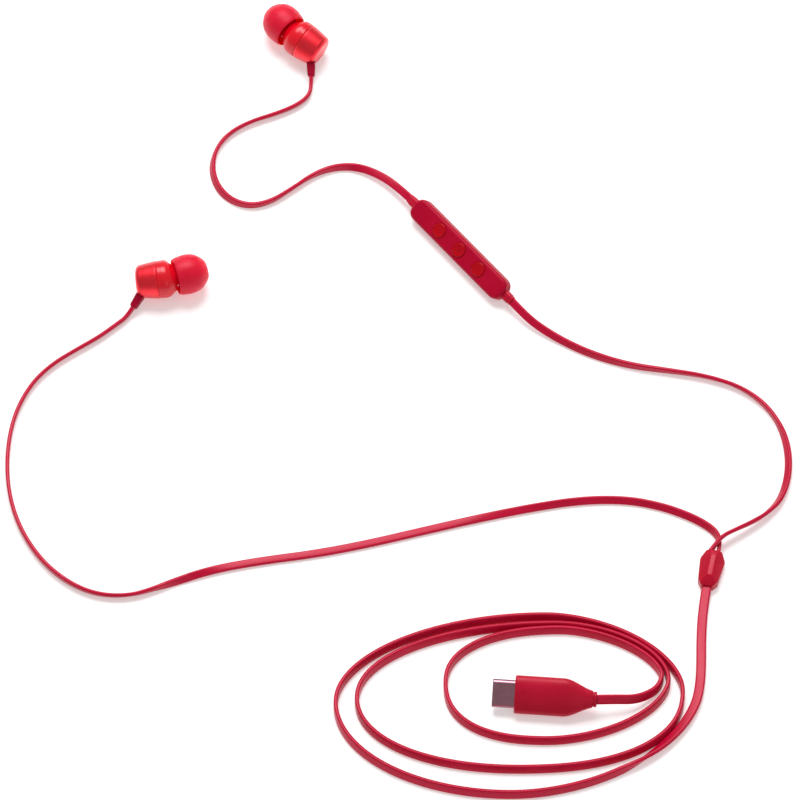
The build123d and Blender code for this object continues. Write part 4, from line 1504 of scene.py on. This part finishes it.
# ---------------------------------------------------------------- studio
@dataclass
class Studio:
    """Pale floor, soft lights and the camera."""

    target: Spot = (50.66, -84.54, 0.0)
    distance: float = 1990.05
    elevation: float = 60.0
    lens: float = 300.0

    def camera(self) -> None:
        """Place the camera in front of the set, looking down at it."""
        lens = bpy.data.cameras.new("camera")
        lens.lens = self.lens
        lens.sensor_width = 36.0
        lens.clip_start = 0.05
        lens.clip_end = 20.0
        eye = add_object("camera", lens)
        lift = math.radians(self.elevation)
        target = Vector(self.target) * MM
        back = Vector((0, -math.cos(lift), math.sin(lift)))
        eye.location = target + back * (self.distance * MM)
        eye.rotation_euler = back.to_track_quat("Z", "Y").to_euler()
        bpy.context.scene.camera = eye

    def floor(self) -> None:
        """Large matt floor."""
        shape = bmesh.new()
        bmesh.ops.create_grid(shape, x_segments=2, y_segments=2, size=6.0)
        mesh = bpy.data.meshes.new("floor")
        shape.to_mesh(mesh)
        shape.free()
        floor = add_object("floor", mesh)
        floor.location = (0, 0, -0.00002)
        paint = bpy.data.materials.new("matt white floor")
        paint.use_nodes = True
        shader = paint.node_tree.nodes["Principled BSDF"]
        for key, value in {"Base Color": (0.9, 0.9, 0.9, 1.0), "Emission Color": (1.0, 1.0, 1.0, 1.0),
                           "Emission Strength": 0.32, "Roughness": 0.9, "Specular IOR Level": 0.1}.items():
            shader.inputs[key].default_value = value
        mesh.materials.append(paint)

    def light(self, name: str, place: Spot, size: Flat, power: float) -> None:
        """Add one rectangular softbox aimed at the set.

        Args:
            name: Its name.
            place: Its place in metres from the set's middle.
            size: Its width and height in metres.
            power: Its power in watts.
        """
        lamp = bpy.data.lights.new(name, "AREA")
        lamp.shape = "RECTANGLE"
        lamp.size, lamp.size_y = size
        lamp.energy = power
        holder = add_object(name, lamp)
        holder.location = Vector(self.target) * MM + Vector(place)
        holder.rotation_euler = Vector(place).to_track_quat("Z", "Y").to_euler()

    def lights(self) -> None:
        """Large softbox above and behind the set, a weak strip at its front right, and an even surround."""
        self.light("back softbox", (-0.1, 0.8, 1.35), (1.0, 0.8), 22.0)
        self.light("front right strip", (0.9, -1.5, 1.0), (0.5, 0.9), 2.0)
        world = bpy.data.worlds.new("studio surround")
        world.use_nodes = True
        world.node_tree.nodes["Background"].inputs["Color"].default_value = (1.0, 1.0, 1.0, 1.0)
        world.node_tree.nodes["Background"].inputs["Strength"].default_value = 0.42
        bpy.context.scene.world = world
        bpy.context.scene.view_settings.view_transform = "Standard"
        bpy.context.scene.view_settings.look = "None"

    def build(self) -> None:
        """Make the whole studio."""
        self.camera()
        self.floor()
        self.lights()


# ---------------------------------------------------------------- the set
BRANCH = RibbonSize(width=2.5, thickness=1.1, corner=0.42)
LEAD = RibbonSize(width=2.9, thickness=1.2, corner=0.46)

LEFT_ROUTE = [
    (-34.6, -59.2, 1.25), (-39.8, -63.6, 1.25), (-46.6, -68.0, 1.25), (-53.6, -73.0, 1.25),
    (-59.8, -80.0, 1.25), (-64.6, -91.2, 1.25), (-66.2, -105.4, 1.25), (-64.8, -119.4, 1.25),
    (-60.2, -132.0, 1.25), (-52.2, -143.2, 1.25), (-41.2, -150.6, 1.2), (-29.6, -151.9, 1.2),
    (-18.2, -148.0, 1.2), (-5.2, -142.8, 1.0), (10.2, -139.6, 0.8), (25.8, -137.3, 0.75),
    (41.0, -134.0, 0.75), (56.8, -129.8, 0.75), (73.0, -125.6, 0.8), (89.0, -122.0, 1.0),
    (104.0, -119.4, 1.1), (117.4, -119.2, 1.1), (127.6, -121.4, 1.15), (135.0, -124.4, 1.25),
    (139.6, -126.9, 1.25), (143.2, -129.7, 1.25), (144.7, -132.4, 1.25), (144.75, -135.3, 1.25),
]
RIGHT_UPPER_ROUTE = [
    (22.4, 21.8, 1.25), (18.6, 18.6, 1.25), (12.6, 15.8, 1.25), (5.4, 13.3, 1.25), (-1.2, 9.2, 1.2),
    (-5.6, 3.2, 1.15), (-6.8, -4.0, 1.1), (-4.8, -10.8, 1.1), (-0.4, -15.6, 1.15), (5.6, -17.4, 1.2),
    (11.8, -15.6, 1.25), (17.4, -11.4, 1.25), (23.6, -6.4, 1.25), (30.4, -3.4, 1.3), (37.9, -3.3, 1.4),
    (45.1, -7.0, 2.1),
]
RIGHT_LOWER_ROUTE = [
    (91.8, -60.0, 2.1), (99.4, -65.0, 1.35), (108.4, -69.7, 1.25), (119.0, -73.3, 1.25),
    (130.8, -75.1, 1.25), (142.0, -76.9, 1.25), (152.0, -80.4, 1.25), (160.2, -87.2, 1.25),
    (165.2, -97.0, 1.2), (166.3, -108.2, 1.2), (163.8, -118.6, 1.3), (158.8, -124.4, 1.7),
    (154.4, -127.6, 2.3), (149.8, -130.2, 3.0), (146.0, -132.4, 3.25), (143.85, -134.85, 3.1),
]
MAIN_LEAD_ROUTE = [(139.4, -156.2, 1.3), (138.7, -165.6, 1.3), (138.5, -174.6, 1.4)]
PLUG_LEAD_ROUTE = [(125.6, -182.7, 1.6), (121.8, -185.4, 2.3), (118.1, -186.9, 3.3), (113.4, -187.3, 4.3)]
COIL_SWINGS = [
    CoilSwing(138.1, -180.5), CoilSwing(83.0, -216.9, 1.85), CoilSwing(31.7, -187.2, 2.0),
    CoilSwing(93.1, -158.5, 1.93), CoilSwing(133.1, -183.5, 1.8), CoilSwing(85.3, -208.7, 2.3),
    CoilSwing(37.9, -185.9, 2.12), CoilSwing(96.0, -161.3, 2.03), CoilSwing(129.0, -179.9, 1.85),
    CoilSwing(93.5, -199.4, 1.8), CoilSwing(63.8, -180.8, 2.4), CoilSwing(97.5, -162.9, 2.2),
    CoilSwing(127.1, -178.9, 1.7),
]

# Each row is a Lean: the share of the length, then how far the upper edge leans to +X and +Y.
LEFT_LEANS = [Lean(*row) for row in (
    (0.02, 0.1, -0.3), (0.07, 0.15, -0.45), (0.14, 0.1, -0.3), (0.2, 0.0, -0.1), (0.26, 0.0, 0.0),
    (0.35, 0.0, -0.1), (0.42, 0.0, -0.5), (0.44, 0.0, -0.2), (0.47, 0.0, 0.9), (0.495, 0.0, 4.0),
    (0.52, 0.0, 20.0), (0.7, 0.0, 20.0), (0.76, 0.0, 4.0), (0.82, 0.0, 1.4), (0.9, 0.1, 0.9),
    (0.96, 0.4, 0.8), (1.0, 0.0, 0.0),
)]
RIGHT_UPPER_LEANS = [Lean(*row) for row in (
    (0.05, 0.1, -0.2), (0.2, 0.2, -0.5), (0.3, 0.0, -0.3), (0.38, 0.55, 0.1), (0.46, 0.5, 0.3),
    (0.52, 0.1, 0.1), (0.6, 0.0, -0.2), (0.68, 0.2, -0.4), (0.75, 0.0, 0.0), (0.82, 0.2, 0.6),
    (0.88, 1.6, 2.4), (0.94, 2.4, 2.4), (1.0, 1.09, 0.92),
)]
RIGHT_LOWER_LEANS = [Lean(*row) for row in (
    (0.0, 1.09, 0.92), (0.06, 0.9, 0.9), (0.13, 0.4, 0.6), (0.22, 0.2, 0.4), (0.3, 0.0, 0.1),
    (0.38, 0.0, -0.2), (0.48, 0.0, -0.5), (0.55, 0.1, -0.3), (0.62, 0.1, 0.0), (0.68, 0.7, 0.3),
    (0.76, 1.2, 0.0), (0.82, 0.8, -0.2), (0.88, 0.1, -0.2), (0.94, 0.1, -0.4), (1.0, 0.0, 0.0),
)]
MAIN_LEANS = [Lean(*row) for row in (
    (0.0, 8.0, 0.5), (0.025, 20.0, 0.5), (0.045, 6.0, 0.5), (0.1, 0.3, 0.5), (0.14, 0.0, 0.5),
    (0.93, 0.0, 0.5), (0.975, 0.0, 0.6), (1.0, 0.09, 1.28),
)]


@dataclass
class EarphoneSet:
    """The whole set: two earpieces, remote, split, plug and the four lengths of cable."""

    remote: Remote = field(default_factory=Remote)
    split: YSplit = field(default_factory=YSplit)
    plug: Plug = field(default_factory=Plug)

    def build(self) -> None:
        """Make the cables first, then the hard pieces."""
        left = Earpiece(Side.LEFT, -28.44, -46.34, 2.6)
        right = Earpiece(Side.RIGHT, 26.46, 35.56, 144.7)
        self.plug.build()
        self.branches(left, right)
        self.main_cable()
        left.build()
        right.build()
        self.remote.build()
        self.split.build()

    def branches(self, left: Earpiece, right: Earpiece) -> None:
        """Make the three lengths of the two branches."""
        split, remote = self.split, self.remote
        back = split.size.back
        Cable("cable_left", BRANCH, left.cable_start() + LEFT_ROUTE + [split.point(-back, 1.15, 1.4)],
              [left.cable_lean(), *LEFT_LEANS], ["left_cable"], 0.320, "object").build()
        Cable("cable_right_upper", BRANCH,
              right.cable_start() + RIGHT_UPPER_ROUTE
              + [remote.cable_end(-1, 4.4, 0.3), remote.cable_end(-1)],
              [right.cable_lean(), *RIGHT_UPPER_LEANS], ["right_cable_upper"], 0.124, "object").build()
        Cable("cable_right_lower", BRANCH,
              [remote.cable_end(1), remote.cable_end(1, 4.8, 0.4)] + RIGHT_LOWER_ROUTE
              + [split.point(-back, -1.15, 2.8)],
              RIGHT_LOWER_LEANS, ["right_cable_lower"], 0.147, "object").build()

    def main_cable(self) -> None:
        """Make the main lead, its loose coil and the tail that rises into the plug, as one cord."""
        plug = self.plug.size
        route = [self.split.point(self.split.size.front, 0.0, 1.6)] + MAIN_LEAD_ROUTE
        route += Coil(COIL_SWINGS).route() + PLUG_LEAD_ROUTE + [(plug.exit_x, plug.exit_y, plug.height)]
        Cable("cable_main", LEAD, route, MAIN_LEANS, ["main_lead", "main_coil", "plug_lead"], 0.698, "plug",
              lay="coiled", fineness=4,
              carries=["plug_body", "connector_shell", "contact_blades", "usb_insulator"]).build()


def main() -> None:
    """Build the studio and the set."""
    logging.basicConfig(level=logging.INFO, format="%(name)s: %(message)s")
    Studio().build()
    EarphoneSet().build()


if __name__ == "__main__":
    main()
